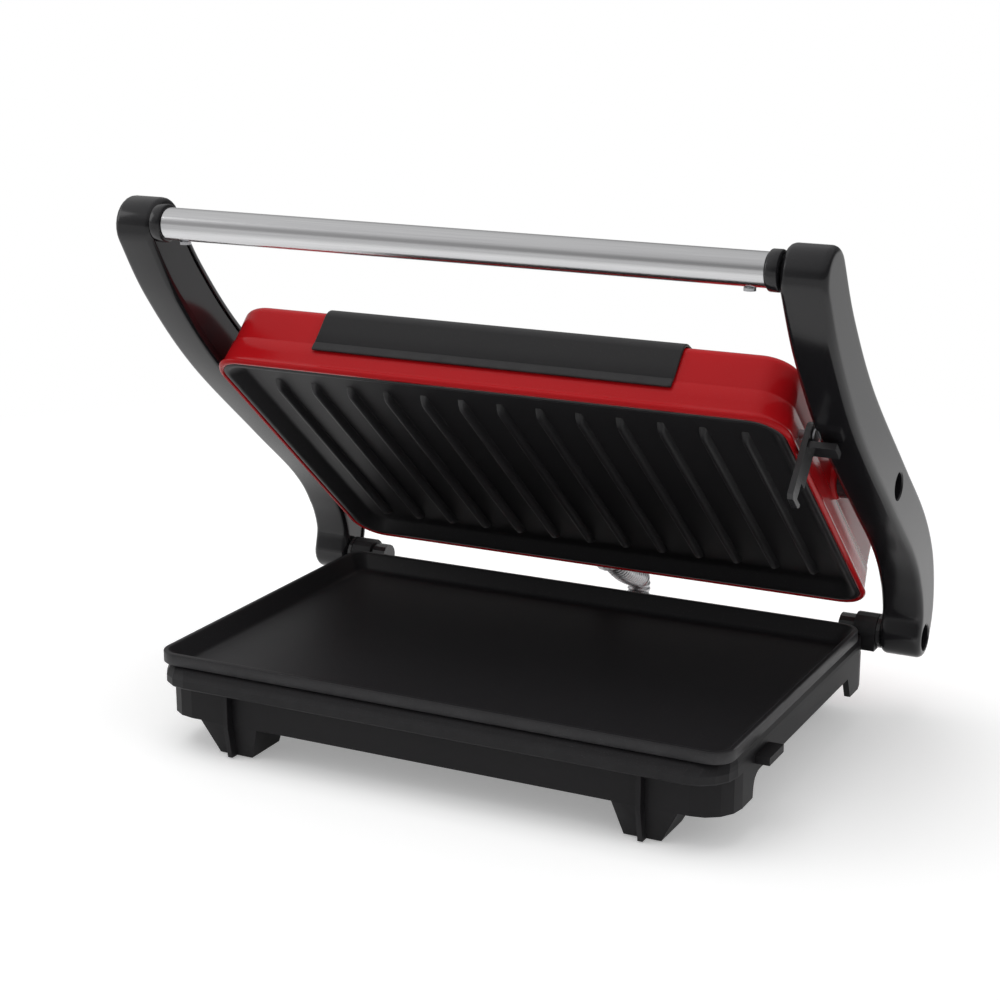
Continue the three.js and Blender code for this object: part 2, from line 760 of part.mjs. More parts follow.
function arm() {
  const bossInnerX = armInnerX + armCoverRecess + armCoverThickness + touchGap;
  const outer = extrudeAlongX(armOutline(0), [armInnerX, armOuterX], armEdgeRadius);
  const hollow = extrudeAlongX(armOutline(armWall), [armInnerX - 1, armOuterX - armWall]);
  let shell = outer.subtract(hollow);
  for (const { at, boss } of armFittings) {
    shell = shell.add(bar('x', boss, bossInnerX, armOuterX - armWall + 0.5, [at.x, at.y]));
  }
  const socketBoss = bar('x', socketRadius + 3, bossInnerX, armOuterX - armWall + 0.5,
    [tubeFromHinge.x, tubeFromHinge.y]);
  shell = shell.add(socketBoss.intersect(outer));
  for (const { at, pin } of armFittings) {
    const bore = bar('x', pin + touchGap, armInnerX - 1, armOuterX, [at.x, at.y]);
    const recess = bar('x', recessRadius, armOuterX - recessDepth - pinHeadLength, armOuterX + 1,
      [at.x, at.y]);
    shell = cut(shell, bore, recess);
  }
  return shell.subtract(bar('x', socketRadius + touchGap, armInnerX - 1, armInnerX + socketDepth + 1,
    [tubeFromHinge.x, tubeFromHinge.y]));
}

function armCover() {
  const from = armInnerX + armCoverRecess;
  let plate = extrudeAlongX(armOutline(armWall + touchGap), [from, from + armCoverThickness]);
  for (const { at, pin } of armFittings) {
    plate = plate.subtract(bar('x', pin + touchGap, from - 1, from + 5, [at.x, at.y]));
  }
  return plate.subtract(bar('x', socketRadius + touchGap, from - 1, from + 5,
    [tubeFromHinge.x, tubeFromHinge.y]));
}

// A shouldered pin with its head in an arm's recess and its shank running inward.
function shoulderPin(radius, innerX, at) {
  const headFrom = armOuterX - recessDepth - pinHeadLength + touchGap;
  const slot = box([headFrom + pinHeadLength - 1.2, armOuterX],
    [at.x - recessRadius, at.x + recessRadius], [at.y - 0.6, at.y + 0.6]);
  return join(
    bar('x', radius, innerX, headFrom + 0.5, [at.x, at.y]),
    bar('x', recessRadius - touchGap, headFrom, headFrom + pinHeadLength, [at.x, at.y]),
  ).subtract(slot);
}

function nut(radius, bore, x, at) {
  return cut(
    bar('x', radius, x[0], x[1], [at.x, at.y]),
    bar('x', bore, x[0] + 2, x[1] + 1, [at.x, at.y]),
  );
}

function washer(radius, bore, x, at) {
  return cut(
    bar('x', radius, x[0], x[1], [at.x, at.y]),
    bar('x', bore, x[0] - 1, x[1] + 1, [at.x, at.y]),
  );
}

const collarInnerX = armInnerX - touchGap - collarLength;
const tubeEndX = collarInnerX - touchGap;
const handleScrewX = tubeEndX - handleScrewInset;

function handleTube() {
  const at = [tubeFromHinge.x, tubeFromHinge.y];
  return cut(
    bar('x', tubeRadius, -tubeEndX, tubeEndX, at, 24),
    bar('x', tubeRadius - tubeWall, -tubeEndX - 1, tubeEndX + 1, at, 24),
    ...[-1, 1].map((side) => screwHole(side * handleScrewX, 1.2 + touchGap, tubeRadius + 1)),
  );
}

// The handle's screws point up at the tube's axis from below, seen with the lid at rest.
function screwHole(x, radius, length) {
  const geometry = new THREE.CylinderGeometry(radius, radius, length, 12);
  geometry.translate(0, -length / 2, 0);
  geometry.rotateX(Math.PI / 2 + THREE.MathUtils.degToRad(openAngle));
  geometry.translate(x, tubeFromHinge.x, tubeFromHinge.y);
  return toSolid(geometry);
}

function handleScrew(side) {
  const x = side * handleScrewX;
  const head = screwHole(x, 2.2, tubeRadius + 1.3);
  const core = screwHole(x, 3, tubeRadius + touchGap - 0.1);
  const shank = screwHole(x, 1.2, tubeRadius + 0.5);
  const centre = screwHole(x, 2, 2.4);
  return join(head.subtract(core), shank.subtract(centre));
}

function handleCollar() {
  const at = [tubeFromHinge.x, tubeFromHinge.y];
  const spigot = tubeRadius - tubeWall - touchGap;
  return cut(
    join(
      bar('x', collarRadius, collarInnerX, armInnerX - touchGap, at),
      bar('x', spigot, collarInnerX - spigotLength, armInnerX + socketDepth, at),
    ),
    screwHole(handleScrewX, 1.2 + touchGap, tubeRadius + 1),
  );
}

// ---- Lid, measured from its pivot axis ----------------------------------------------

const lidRimZ = -lidPivotHeight;
const lidCornerSteps = 4;

// Outer surface of the lid, grown or shrunk all round by `grow`.
function lidSections(grow) {
  const ring = (height, inset, radius, lift) => section(
    lidRimZ + height + lift * grow,
    lidHalfWidth - inset + grow,
    -(lidHalfDepth - inset + grow),
    lidHalfDepth - inset + grow,
    Math.max(2, radius + grow),
  );
  return [
    ring(lidCreaseHeight, lidLean, lidCornerRadius, 0),
    ring(lidEdgeHeight - lidEdgeRadius, 1.5 * lidLean, lidCornerRadius, 0),
    ring(lidEdgeHeight - 0.3 * lidEdgeRadius, 1.5 * lidLean + 0.3 * lidEdgeRadius,
      lidCornerRadius, 0.5),
    ring(lidEdgeHeight, 1.5 * lidLean + lidEdgeRadius, lidCornerRadius, 1),
    ring(lidCrownHeight, lidCrownInset, lidCornerRadius, 1),
  ];
}

// The whole outer surface, with the bead that runs round its lower edge.
function lidSkirt() {
  const ring = (height, inset) => section(
    lidRimZ + height,
    lidHalfWidth - inset,
    -(lidHalfDepth - inset),
    lidHalfDepth - inset,
    lidCornerRadius,
  );
  return [
    ring(0, lidBead),
    ring(lidBead, 0),
    ring(3 * lidBead, 0),
    ring(4 * lidBead, lidBead),
    ...lidSections(0),
  ];
}

function lidCover() {
  const outer = loft(lidSkirt(), lidCornerSteps);
  const straight = (height) => section(lidRimZ + height, lidHalfWidth - lidWall,
    -(lidHalfDepth - lidWall), lidHalfDepth - lidWall, lidCornerRadius - lidWall);
  const hollow = loft([straight(-1), straight(plateRimHeight), ...lidSections(-lidWall)],
    lidCornerSteps);
  let shell = outer.subtract(hollow);
  for (const side of [-1, 1]) {
    const from = lidHalfWidth - lidWall - pivotBossLength;
    shell = shell.add(onSide(side,
      bar('x', pivotBossRadius, from, lidHalfWidth - lidWall + 0.6, [0, 0])));
    shell = shell.subtract(onSide(side,
      bar('x', pivotPinRadius + touchGap, from - 1, lidHalfWidth + 2, [0, 0])));
  }
  const latchHole = bar('x', latchPinRadius + touchGap, lidHalfWidth - 6, lidHalfWidth + 2,
    [latchPivotY, latchPivotDrop - lidPivotZ], 16);
  const conduitHole = bar('y', conduitRadius + touchGap, lidHalfDepth - 6, lidHalfDepth + 2,
    [0, lidRimZ + conduitExit]);
  return cut(shell, latchHole, conduitHole);
}

function accentPanel() {
  const window = box(
    [-accentHalfWidth, accentHalfWidth],
    [-lidHalfDepth - 5, -lidHalfDepth + accentDepth],
    [lidRimZ + accentBottom, lidRimZ + lidCrownHeight + 5],
  );
  const lowered = (grow) => {
    const rings = lidSections(grow);
    return loft([{ ...rings[0], z: rings[0].z - 4 }, ...rings], lidCornerSteps);
  };
  return lowered(touchGap + accentProud).subtract(lowered(touchGap)).intersect(window);
}

function upperPlate() {
  const radius = lidCornerRadius - lidWall - touchGap;
  const blank = join(
    loft([
      section(lidRimZ, upperPlateHalfWidth - 0.6, -upperPlateHalfDepth + 0.6,
        upperPlateHalfDepth - 0.6, radius - 0.6),
      section(lidRimZ + 0.6, upperPlateHalfWidth, -upperPlateHalfDepth, upperPlateHalfDepth, radius),
      section(lidRimZ + plateRimHeight, upperPlateHalfWidth, -upperPlateHalfDepth,
        upperPlateHalfDepth, radius),
    ]),
    loft([
      section(lidRimZ + plateRimHeight - 0.5, upperPlateHalfWidth - plateRimWidth,
        -upperPlateHalfDepth + plateRimWidth, upperPlateHalfDepth - plateRimWidth, radius - 4),
      section(lidRimZ + upperPlateBack, upperPlateHalfWidth - plateRimWidth,
        -upperPlateHalfDepth + plateRimWidth, upperPlateHalfDepth - plateRimWidth, radius - 4),
    ]),
  );
  const mouthX = upperPlateHalfWidth - plateRimLand;
  const mouthY = upperPlateHalfDepth - plateRimLand;
  const recess = loft([
    section(lidRimZ - 0.2, mouthX, -mouthY, mouthY, radius - plateRimLand),
    section(lidRimZ + ribbedDepth, mouthX - plateRimSlope, -mouthY + plateRimSlope,
      mouthY - plateRimSlope, radius - 5),
  ]);
  let plate = blank.subtract(recess);
  const ribFront = -upperPlateHalfDepth + ribFrontGap;
  const ribRear = upperPlateHalfDepth - ribRearGap;
  for (let i = 0; i < ribCount; i += 1) {
    const x = (i - (ribCount - 1) / 2) * ribPitch;
    plate = plate.add(rib(x, ribFront, ribRear));
  }
  return plate;
}

// One grill rib: a ridge with sloping flanks and ends, its crest towards the food.
function rib(x, front, rear) {
  const root = lidRimZ + ribbedDepth + 0.3;
  const crest = lidRimZ + ribbedDepth - ribHeight;
  const wide = ribWidth / 2;
  const narrow = ribWidth / 5;
  const slope = ribHeight * 1.4;
  const low = [[-narrow, front + slope], [narrow, front + slope], [narrow, rear - slope],
    [-narrow, rear - slope]];
  const high = [[-wide, front], [wide, front], [wide, rear], [-wide, rear]];
  const positions = [];
  for (const [dx, y] of low) {
    positions.push(x + dx, y, crest);
  }
  for (const [dx, y] of high) {
    positions.push(x + dx, y, root);
  }
  const quads = [[3, 2, 1, 0], [4, 5, 6, 7], [0, 1, 5, 4], [1, 2, 6, 5], [2, 3, 7, 6], [3, 0, 4, 7]];
  const index = quads.flatMap(([a, b, c, d]) => [a, b, c, a, c, d]);
  const geometry = new THREE.BufferGeometry();
  geometry.setAttribute('position', new THREE.Float32BufferAttribute(positions, 3));
  geometry.setIndex(index);
  return toSolid(geometry);
}

// ---- Latch, measured from its pivot -------------------------------------------------

function latchClip() {
  const from = latchInnerX;
  const to = latchInnerX + latchThickness;
  const notchTop = catchTop + notchMargin - latchPivotDrop;
  const notchLow = catchTop - catchThickness - hookDrop - latchPivotDrop;
  const outline = new THREE.Shape();
  outline.moveTo(-latchHalfWidth, 0);
  outline.absarc(0, 0, latchHalfWidth, Math.PI, 0, true);
  outline.lineTo(latchHalfWidth, notchTop);
  outline.lineTo(latchHalfWidth - notchDepth, notchTop);
  outline.lineTo(latchHalfWidth - notchDepth, notchLow);
  outline.lineTo(latchHalfWidth, notchLow);
  outline.lineTo(latchHalfWidth, notchLow - hookJaw + 1);
  outline.lineTo(latchHalfWidth - 1.5, notchLow - hookJaw);
  outline.lineTo(-latchHalfWidth + 1.5, notchLow - hookJaw);
  outline.lineTo(-latchHalfWidth, notchLow - hookJaw + 1.5);
  outline.closePath();
  const strip = extrudeAlongX(outline, [from, to]);
  const finger = box([from, from + 12.5], [-3.5, 3.5], [-6.4, -3.8]);
  const bore = bar('x', latchPinRadius + touchGap, from - 1, to + 1, [0, 0]);
  return join(strip, finger).subtract(bore);
}

function latchPin() {
  const at = [latchPivotY, latchPivotDrop - lidPivotZ];
  const headFrom = latchInnerX + latchThickness + touchGap;
  return join(
    bar('x', latchPinRadius, lidHalfWidth - lidWall - 3, headFrom + 0.3, at, 16),
    bar('x', latchPinRadius + 1.4, headFrom, headFrom + 0.7, at, 16),
  );
}

// ---- Assembly -----------------------------------------------------------------------

const press = new THREE.Group();
const base = new THREE.Group();
const arms = new THREE.Group();
const lid = new THREE.Group();
const latch = new THREE.Group();
press.add(base);
base.position.z = rimHeight;
base.add(arms);
arms.position.set(0, hingeY, hingeZ);
arms.rotation.x = -THREE.MathUtils.degToRad(openAngle);
arms.add(lid);
lid.position.set(0, pivotFromHinge.x, pivotFromHinge.y);
lid.add(latch);
latch.position.set(0, latchPivotY, latchPivotDrop - lidPivotZ);

base.add(piece('base_housing', baseHousing(), housingPlastic));
base.add(piece('bottom_cover', bottomCover(), housingPlastic));
base.add(piece('lower_plate', lowerPlate(), nonStick));
base.add(piece('lower_heating_element', heaterLoop(lowerElementZ, 32), steel));
base.add(piece('lower_heat_shield',
  sheetTray(shieldLow, panHalfWidth - 8, panFront + 5, panRear - 12, 2), aluminiumSheet));
base.add(piece('thermostat',
  bar('z', 8, lowerPlateUnderside - 6.5, lowerPlateUnderside - touchGap, [0, 4]), ceramic));
base.add(piece('thermal_fuse',
  bar('x', 2, 24, 36, [4, lowerPlateUnderside - touchGap - 2], 12), steel));
base.add(piece('terminal_block', terminalBlock(), ceramic));
base.add(piece('cord_gland', cordGland(), rubber));
base.add(piece('conduit_ferrule_base', ferrule(rearY + touchGap, 0, -conduitEntryDrop), steel));
coverScrews.forEach(([x, y], i) => {
  base.add(piece(`cover_screw_${i + 1}`, coverScrew(x, y), steel));
});
const padPlaces = [
  ['front_left', -footCentreX, middle(frontFootY)],
  ['front_right', footCentreX, middle(frontFootY)],
  ['rear_left', -footCentreX, middle(rearFootY)],
  ['rear_right', footCentreX, middle(rearFootY)],
];
for (const [place, x, y] of padPlaces) {
  base.add(piece(`foot_pad_${place}`,
    bar('z', padRadius, -rimHeight, -rimHeight + padHeight, [x, y]), rubber));
}

const [conduitUpper, conduitLower] = conduitHalves();
base.add(piece('conduit_upper', conduitUpper, steel));
base.add(piece('conduit_lower', conduitLower, steel));

const atHinge = new THREE.Vector2(0, 0);
for (const [name, side] of [['left', -1], ['right', 1]]) {
  const add = (label, solid, material) => {
    arms.add(piece(`${name}_${label}`, onSide(side, solid), material));
  };
  add('arm', arm(), armPlastic);
  add('arm_cover', armCover(), armPlastic);
  add('hinge_pin', shoulderPin(hingePinRadius, hingeNutInnerX + 2 + touchGap, atHinge), steel);
  add('hinge_nut', nut(hingeNutRadius, hingePinRadius + touchGap,
    [hingeNutInnerX, knuckleInnerX - touchGap], atHinge), housingPlastic);
  add('hinge_washer', washer(knuckleRadius, hingePinRadius + touchGap,
    [knuckleOuterX + touchGap, armInnerX - touchGap], atHinge), housingPlastic);
  const bossEnd = lidHalfWidth - lidWall - pivotBossLength;
  add('lid_pivot_pin', shoulderPin(pivotPinRadius, bossEnd - touchGap - 2, pivotFromHinge), steel);
  add('lid_pivot_nut', nut(pivotNutRadius, pivotPinRadius + touchGap,
    [bossEnd - touchGap - pivotNutLength, bossEnd - touchGap], pivotFromHinge), steel);
  add('lid_pivot_washer', washer(pivotBossRadius - 1, pivotPinRadius + touchGap,
    [lidHalfWidth + touchGap, armInnerX - touchGap], pivotFromHinge), housingPlastic);
  add('handle_collar', handleCollar(), armPlastic);
  arms.add(piece(`${name}_handle_screw`, handleScrew(side), steel));
}
arms.add(piece('handle_tube', handleTube(), brightTube));

lid.add(piece('lid_cover', lidCover(), redGloss));
lid.add(piece('lid_accent_panel', accentPanel(), accentSatin));
lid.add(piece('upper_plate', upperPlate(), nonStick));
lid.add(piece('upper_heating_element',
  heaterLoop(lidRimZ + upperPlateBack + touchGap + elementRadius, 36), steel));
lid.add(piece('latch_pin', latchPin(), steel));
lid.add(piece('conduit_ferrule_lid',
  ferrule(lidHalfDepth + touchGap, 0, lidRimZ + conduitExit), steel));
latch.add(piece('latch_clip', latchClip(), armPlastic));

// The part's origin is the middle of its footprint, on the table.
press.updateMatrixWorld(true);
const bounds = new THREE.Box3().setFromObject(press, true);
const centre = bounds.getCenter(new THREE.Vector3());
press.position.set(-centre.x, -centre.y, -bounds.min.z);

export default press;
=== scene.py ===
"""Looks of a panini press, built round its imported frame.

Shells, cooking plates, arms, handle, conduit, finishes and studio.
"""

import json
import math

import bmesh
import bpy
from mathutils import Matrix, Vector


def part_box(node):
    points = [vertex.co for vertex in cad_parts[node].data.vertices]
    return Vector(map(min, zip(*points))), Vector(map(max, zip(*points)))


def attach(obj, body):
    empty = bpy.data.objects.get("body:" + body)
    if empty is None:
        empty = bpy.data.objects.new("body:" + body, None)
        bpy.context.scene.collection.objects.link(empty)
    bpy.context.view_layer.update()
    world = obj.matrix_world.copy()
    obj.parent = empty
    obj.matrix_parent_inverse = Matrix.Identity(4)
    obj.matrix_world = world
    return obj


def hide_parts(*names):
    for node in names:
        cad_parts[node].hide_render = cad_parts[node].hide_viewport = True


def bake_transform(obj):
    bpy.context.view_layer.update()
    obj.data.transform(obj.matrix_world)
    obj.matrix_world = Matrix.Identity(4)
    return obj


bl_info = {
    "name": "Panini Press Looks",
    "version": (1, 0, 0),
    "blender": (4, 5, 0),
    "location": "View3D > Sidebar > Press",
    "description": "Builds the finished shells, plates, arms and studio round a panini press frame",
    "category": "Object",
}

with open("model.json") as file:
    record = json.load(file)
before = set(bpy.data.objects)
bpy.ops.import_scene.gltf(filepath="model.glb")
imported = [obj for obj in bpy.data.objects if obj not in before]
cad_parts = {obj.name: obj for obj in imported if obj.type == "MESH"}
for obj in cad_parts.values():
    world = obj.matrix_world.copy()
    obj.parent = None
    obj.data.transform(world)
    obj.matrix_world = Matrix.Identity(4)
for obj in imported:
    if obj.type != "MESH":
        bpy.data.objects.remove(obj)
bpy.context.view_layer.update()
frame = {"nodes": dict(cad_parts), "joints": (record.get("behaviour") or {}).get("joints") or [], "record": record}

# ---- Places taken from the frame ------------------------------------------------------

MM = 0.001
FIT_GAP = 0.3  # between pieces that touch, in millimetres
HINGE_SETBACK = 10.0
HINGE_DROP = 4.5
REAR_SHELF = 11.4
HANDLE_REACH = 53.5
PLATE_LOW, PLATE_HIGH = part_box("lower_plate")
RIM_CENTRE = Vector((
    (PLATE_LOW.x + PLATE_HIGH.x) / 2,
    (PLATE_LOW.y + PLATE_HIGH.y) / 2,
    PLATE_HIGH.z,
))
HALF_WIDTH = (PLATE_HIGH.x - PLATE_LOW.x) / 2 / MM
HALF_DEPTH = (PLATE_HIGH.y - PLATE_LOW.y) / 2 / MM
JOINTS = {joint["name"]: joint for joint in frame["joints"]}
HINGE = Vector(JOINTS["arm_hinge"]["pos_m"])
OPEN_ANGLE = math.radians(-JOINTS["arm_hinge"]["range_deg"][0])
BASE_PLACE = Matrix.Translation(RIM_CENTRE)
ARM_PLACE = Matrix.Translation(HINGE) @ Matrix.Rotation(-OPEN_ANGLE, 4, "X")
PIVOT = ARM_PLACE.inverted() @ Vector(JOINTS["lid_pivot"]["pos_m"])
LID_PLACE = ARM_PLACE @ Matrix.Translation((0, PIVOT.y, PIVOT.z))
PIVOT_YZ = Vector((PIVOT.y, PIVOT.z)) / MM

# ---- Sizes in millimetres, as the frame's solids have them -------------------------------

GRIDDLE_DEPTH = 6.5
LOWER_UNDERSIDE = -10.5
BODY_INSET = 4.8
PLATE_CORNER = 8.5
PLATE_RIM_HEIGHT = 4.9
RIB_COUNT = 13
RIB_PITCH = 16.6
RIB_WIDTH = 3.6
RIB_HEIGHT = 3.0
RIBBED_DEPTH = 5.0
LID_HALF_WIDTH = HALF_WIDTH + 0.4
LID_HALF_DEPTH = HALF_DEPTH + 1.0
LID_RIM = -18.4
LID_WALL = 2.0
LID_CORNER = 13.0
LID_BEAD = 0.7
LID_LEAN = 1.6
LID_CREASE = 12.5
LID_EDGE = 28.8
LID_EDGE_RADIUS = 4.2
LID_CROWN = 32.6
LID_CROWN_INSET = 40.0
ACCENT_HALF_WIDTH = 75.6
ACCENT_BOTTOM = 9.3
ACCENT_DEPTH = 46.0
ACCENT_GAP = FIT_GAP
ACCENT_PROUD = 1.5
ARM_INNER = 126.0
ARM_OUTER = 143.0
ARM_HALF_WIDTH = 11.0
ARM_HINGE_RADIUS = 8.6
ARM_EDGE = 2.6
ARM_WALL = 3.0
ARM_RECESS_RADIUS = 5.2
ARM_RECESS_DEPTH = 9.5
TUBE_AT = Vector((-(HALF_DEPTH + HINGE_SETBACK + HALF_DEPTH + HANDLE_REACH), 35.5))
TUBE_RADIUS = 6.2
TUBE_WALL = 1.0
COLLAR_RADIUS = 7.3
COLLAR_INNER = 121.5
TUBE_END = 121.2
CONDUIT_RADIUS = 5.2
REAR = HALF_DEPTH + REAR_SHELF
CONDUIT_DROP = 19.0
CONDUIT_REACH = 38.0
CONDUIT_EXIT = 9.8
CONDUIT_CUFF = 7.2  # slimmer end that moves freely inside the lid's ferrule
CONDUIT_FLARE = 1.0
CONDUIT_NECK = 3.7
CONDUIT_STRAIGHT = 6.5
CONDUIT_JOINT = 0.6  # between its upper and lower halves
PLATE_EDGE = 0.5
PLATE_BODY_CORNER = 6.0
PLATE_BODY_CHAMFER = 0.6
LEAST_CORNER = 4.5
PLATE_FLOOR = 4.0
RIB_FRONT_GAP = 18.0
RIB_REAR_GAP = 14.0
RIB_SINK = 0.4  # root of a rib inside the plate
BOSS_RADIUS = 8.0
BOSS_BORE = 3.4
BOSS_DEPTH = 4.0
HINGE_YZ = Vector((HALF_DEPTH + HINGE_SETBACK, -HINGE_DROP))

# (inset from the plate's edge, drop below the rim) from the rim's land to the floor
LOWER_RECESS = (
    (1.5, 0.0), (1.85, 0.06), (2.2, 0.32), (2.8, 0.95), (6.5, 5.25), (6.95, 5.75),
    (7.5, 6.15), (8.3, 6.4), (9.5, GRIDDLE_DEPTH), (20.0, GRIDDLE_DEPTH),
)
# (height above the rim, inset) from the rim's outer edge to the ribbed floor
UPPER_RECESS = (
    (0.8, 0.0), (0.25, 0.18), (0.0, 0.7), (0.0, 1.4), (0.12, 1.95), (0.5, 2.5), (4.1, 6.4),
    (4.6, 7.0), (4.9, 7.7), (RIBBED_DEPTH, 8.6), (RIBBED_DEPTH, 12.0), (RIBBED_DEPTH, 18.0),
)

# ---- Mesh helpers ----------------------------------------------------------------------


def ring(z, half_x, front, rear, radius, steps=12):
    """Points of a rounded rectangle at height z, anticlockwise from above."""
    points = []
    corners = (
        (half_x - radius, front + radius, -0.5),
        (half_x - radius, rear - radius, 0.0),
        (-half_x + radius, rear - radius, 0.5),
        (-half_x + radius, front + radius, 1.0),
    )
    for x, y, start in corners:
        for step in range(steps + 1):
            angle = math.pi * (start + 0.5 * step / steps)
            points.append((x + radius * math.cos(angle), y + radius * math.sin(angle), z))
    return points


def skin(rings, cap_first=False, cap_last=False):
    """Vertices and faces of a surface through rings of equal length."""
    count = len(rings[0])
    verts = [point for one in rings for point in one]
    faces = []
    for level in range(len(rings) - 1):
        low = level * count
        for i in range(count):
            j = (i + 1) % count
            faces.append((low + i, low + j, low + count + j, low + count + i))
    if cap_first:
        faces.append(tuple(reversed(range(count))))
    if cap_last:
        last = (len(rings) - 1) * count
        faces.append(tuple(range(last, last + count)))
    return verts, faces


def merged(parts):
    """Several (vertices, faces) as one."""
    verts, faces = [], []
    for part_verts, part_faces in parts:
        base = len(verts)
        verts.extend(part_verts)
        faces.extend(tuple(i + base for i in face) for face in part_faces)
    return verts, faces


def mesh_piece(name, shape, place, material, body=None, nodes=(), sharp=35.0):
    """A piece from (vertices, faces) in millimetres, put in place and made to ride its body."""
    verts, faces = shape
    mesh = bpy.data.meshes.new(name)
    mesh.from_pydata([Vector(v) * MM for v in verts], [], faces)
    mesh.transform(place)
    work = bmesh.new()
    work.from_mesh(mesh)
    bmesh.ops.remove_doubles(work, verts=work.verts, dist=1e-7)
    bmesh.ops.recalc_face_normals(work, faces=work.faces)
    work.to_mesh(mesh)
    work.free()
    mesh.shade_smooth()
    mesh.set_sharp_from_angle(angle=math.radians(sharp))
    piece = bpy.data.objects.new(name, mesh)
    bpy.context.scene.collection.objects.link(piece)
    mesh.materials.append(material)
    if body:
        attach(piece, body)
    if nodes:
        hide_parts(*nodes)
    return piece


def soften(piece, width, segments=2, angle=38.0):
    """A small round on a piece's edges, with clean shading on its flat faces."""
    bevel = piece.modifiers.new("edge_round", "BEVEL")
    bevel.width = width * MM
    bevel.segments = segments
    bevel.limit_method = "ANGLE"
    bevel.angle_limit = math.radians(angle)
    bevel.harden_normals = True
    bevel.use_clamp_overlap = True


def carve(piece, cutters):
    """Cuts the (vertices, faces, place) tools out of a piece, and keeps the result as its mesh."""
    helpers = []
    for i, (shape, place) in enumerate(cutters):
        tool = mesh_piece(f"cutter_{i}", shape, place, piece.data.materials[0])
        cut = piece.modifiers.new("cut", "BOOLEAN")
        cut.operation = "DIFFERENCE"
        cut.solver = "EXACT"
        cut.object = tool
        helpers.append(tool)
    graph = bpy.context.evaluated_depsgraph_get()
    result = bpy.data.meshes.new_from_object(piece.evaluated_get(graph))
    piece.modifiers.clear()
    piece.data = result
    result.shade_smooth()
    result.set_sharp_from_angle(angle=math.radians(35))
    for tool in helpers:
        bpy.data.objects.remove(tool)


def turned(profile, centre, sides=48):
    """A body turned about a line parallel to X, from (x, radius) pairs."""
    rings = []
    for x, radius in profile:
        rings.append([
            (x, centre[0] + radius * math.cos(2 * math.pi * i / sides),
             centre[1] + radius * math.sin(2 * math.pi * i / sides))
            for i in range(sides)
        ])
    return skin(rings)


def other_side(shape):
    """The same shape mirrored to the left side."""
    verts, faces = shape
    return [(-x, y, z) for x, y, z in verts], [tuple(reversed(face)) for face in faces]


def quarter(steps, reach):
    """(along, across) offsets that round an edge of the given radius."""
    return [
        (reach * (1 - math.sin(0.5 * math.pi * i / steps)),
         reach * (1 - math.cos(0.5 * math.pi * i / steps)))
        for i in range(steps + 1)
    ]


# ---- Material helpers ------------------------------------------------------------------

DUST_GREY = (0.3, 0.3, 0.3)
# Pale grey painted along the cooking plates' rim and rib edges as a painted highlight line.
PAINTED_EDGE_HIGHLIGHT = (0.085, 0.083, 0.087)
COATING_IOR = 1.38


def new_group(name, inputs, outputs):
    """An empty shader node group with named float inputs and outputs."""
    group = bpy.data.node_groups.new(name, "ShaderNodeTree")
    for label, value in inputs:
        socket = group.interface.new_socket(label, in_out="INPUT", socket_type="NodeSocketFloat")
        socket.default_value = value
    for label in outputs:
        group.interface.new_socket(label, in_out="OUTPUT", socket_type="NodeSocketFloat")
    return group, group.nodes.new("NodeGroupInput"), group.nodes.new("NodeGroupOutput")


def maths(tree, operation, first, second=None, third=None, clamp=False):
    """A Math node whose arguments are sockets or plain numbers; gives its output."""
    node = tree.nodes.new("ShaderNodeMath")
    node.operation = operation
    node.use_clamp = clamp
    for i, value in enumerate((first, second, third)):
        if value is None:
            continue
        if isinstance(value, (int, float)):
            node.inputs[i].default_value = value
        else:
            tree.links.new(value, node.inputs[i])
    return node.outputs[0]


def noise_in(tree, vector, scale, detail=2.0, roughness=0.5):
    """A noise texture's Fac output; scale is a number or a socket."""
    node = tree.nodes.new("ShaderNodeTexNoise")
    tree.links.new(vector, node.inputs["Vector"])
    if isinstance(scale, (int, float)):
        node.inputs["Scale"].default_value = scale
    else:
        tree.links.new(scale, node.inputs["Scale"])
    node.inputs["Detail"].default_value = detail
    node.inputs["Roughness"].default_value = roughness
    return node.outputs["Fac"]


def make_grain_group():
    """Moulded or coated grain: fine bumps, with broad slow waves under them."""
    group, given, out = new_group(
        "surface_grain",
        (("Grain Scale", 2200.0), ("Grain Depth", 1.0), ("Wave Scale", 60.0), ("Wave Depth", 0.3)),
        ("Height", "Mottle"),
    )
    where = group.nodes.new("ShaderNodeTexCoord").outputs["Object"]
    fine = noise_in(group, where, given.outputs["Grain Scale"], 2.0, 0.6)
    broad = noise_in(group, where, given.outputs["Wave Scale"], 2.0, 0.5)
    fine_part = maths(group, "MULTIPLY", fine, given.outputs["Grain Depth"])
    wave_part = maths(group, "MULTIPLY", broad, given.outputs["Wave Depth"])
    group.links.new(maths(group, "ADD", fine_part, wave_part), out.inputs["Height"])
    group.links.new(broad, out.inputs["Mottle"])


def make_brush_group():
    """Fine lines drawn along X, as brushing or rolling leaves them."""
    group, given, out = new_group(
        "brushed_lines",
        (("Line Scale", 1400.0), ("Stretch", 0.02), ("Depth", 1.0)),
        ("Height", "Streak"),
    )
    where = group.nodes.new("ShaderNodeTexCoord").outputs["Object"]
    apart = group.nodes.new("ShaderNodeSeparateXYZ")
    group.links.new(where, apart.inputs[0])
    joined = group.nodes.new("ShaderNodeCombineXYZ")
    along = maths(group, "MULTIPLY", apart.outputs["X"], given.outputs["Stretch"])
    group.links.new(along, joined.inputs["X"])
    group.links.new(apart.outputs["Y"], joined.inputs["Y"])
    group.links.new(apart.outputs["Z"], joined.inputs["Z"])
    streak = noise_in(group, joined.outputs[0], given.outputs["Line Scale"], 3.0, 0.65)
    group.links.new(maths(group, "MULTIPLY", streak, given.outputs["Depth"]), out.inputs["Height"])
    group.links.new(streak, out.inputs["Streak"])


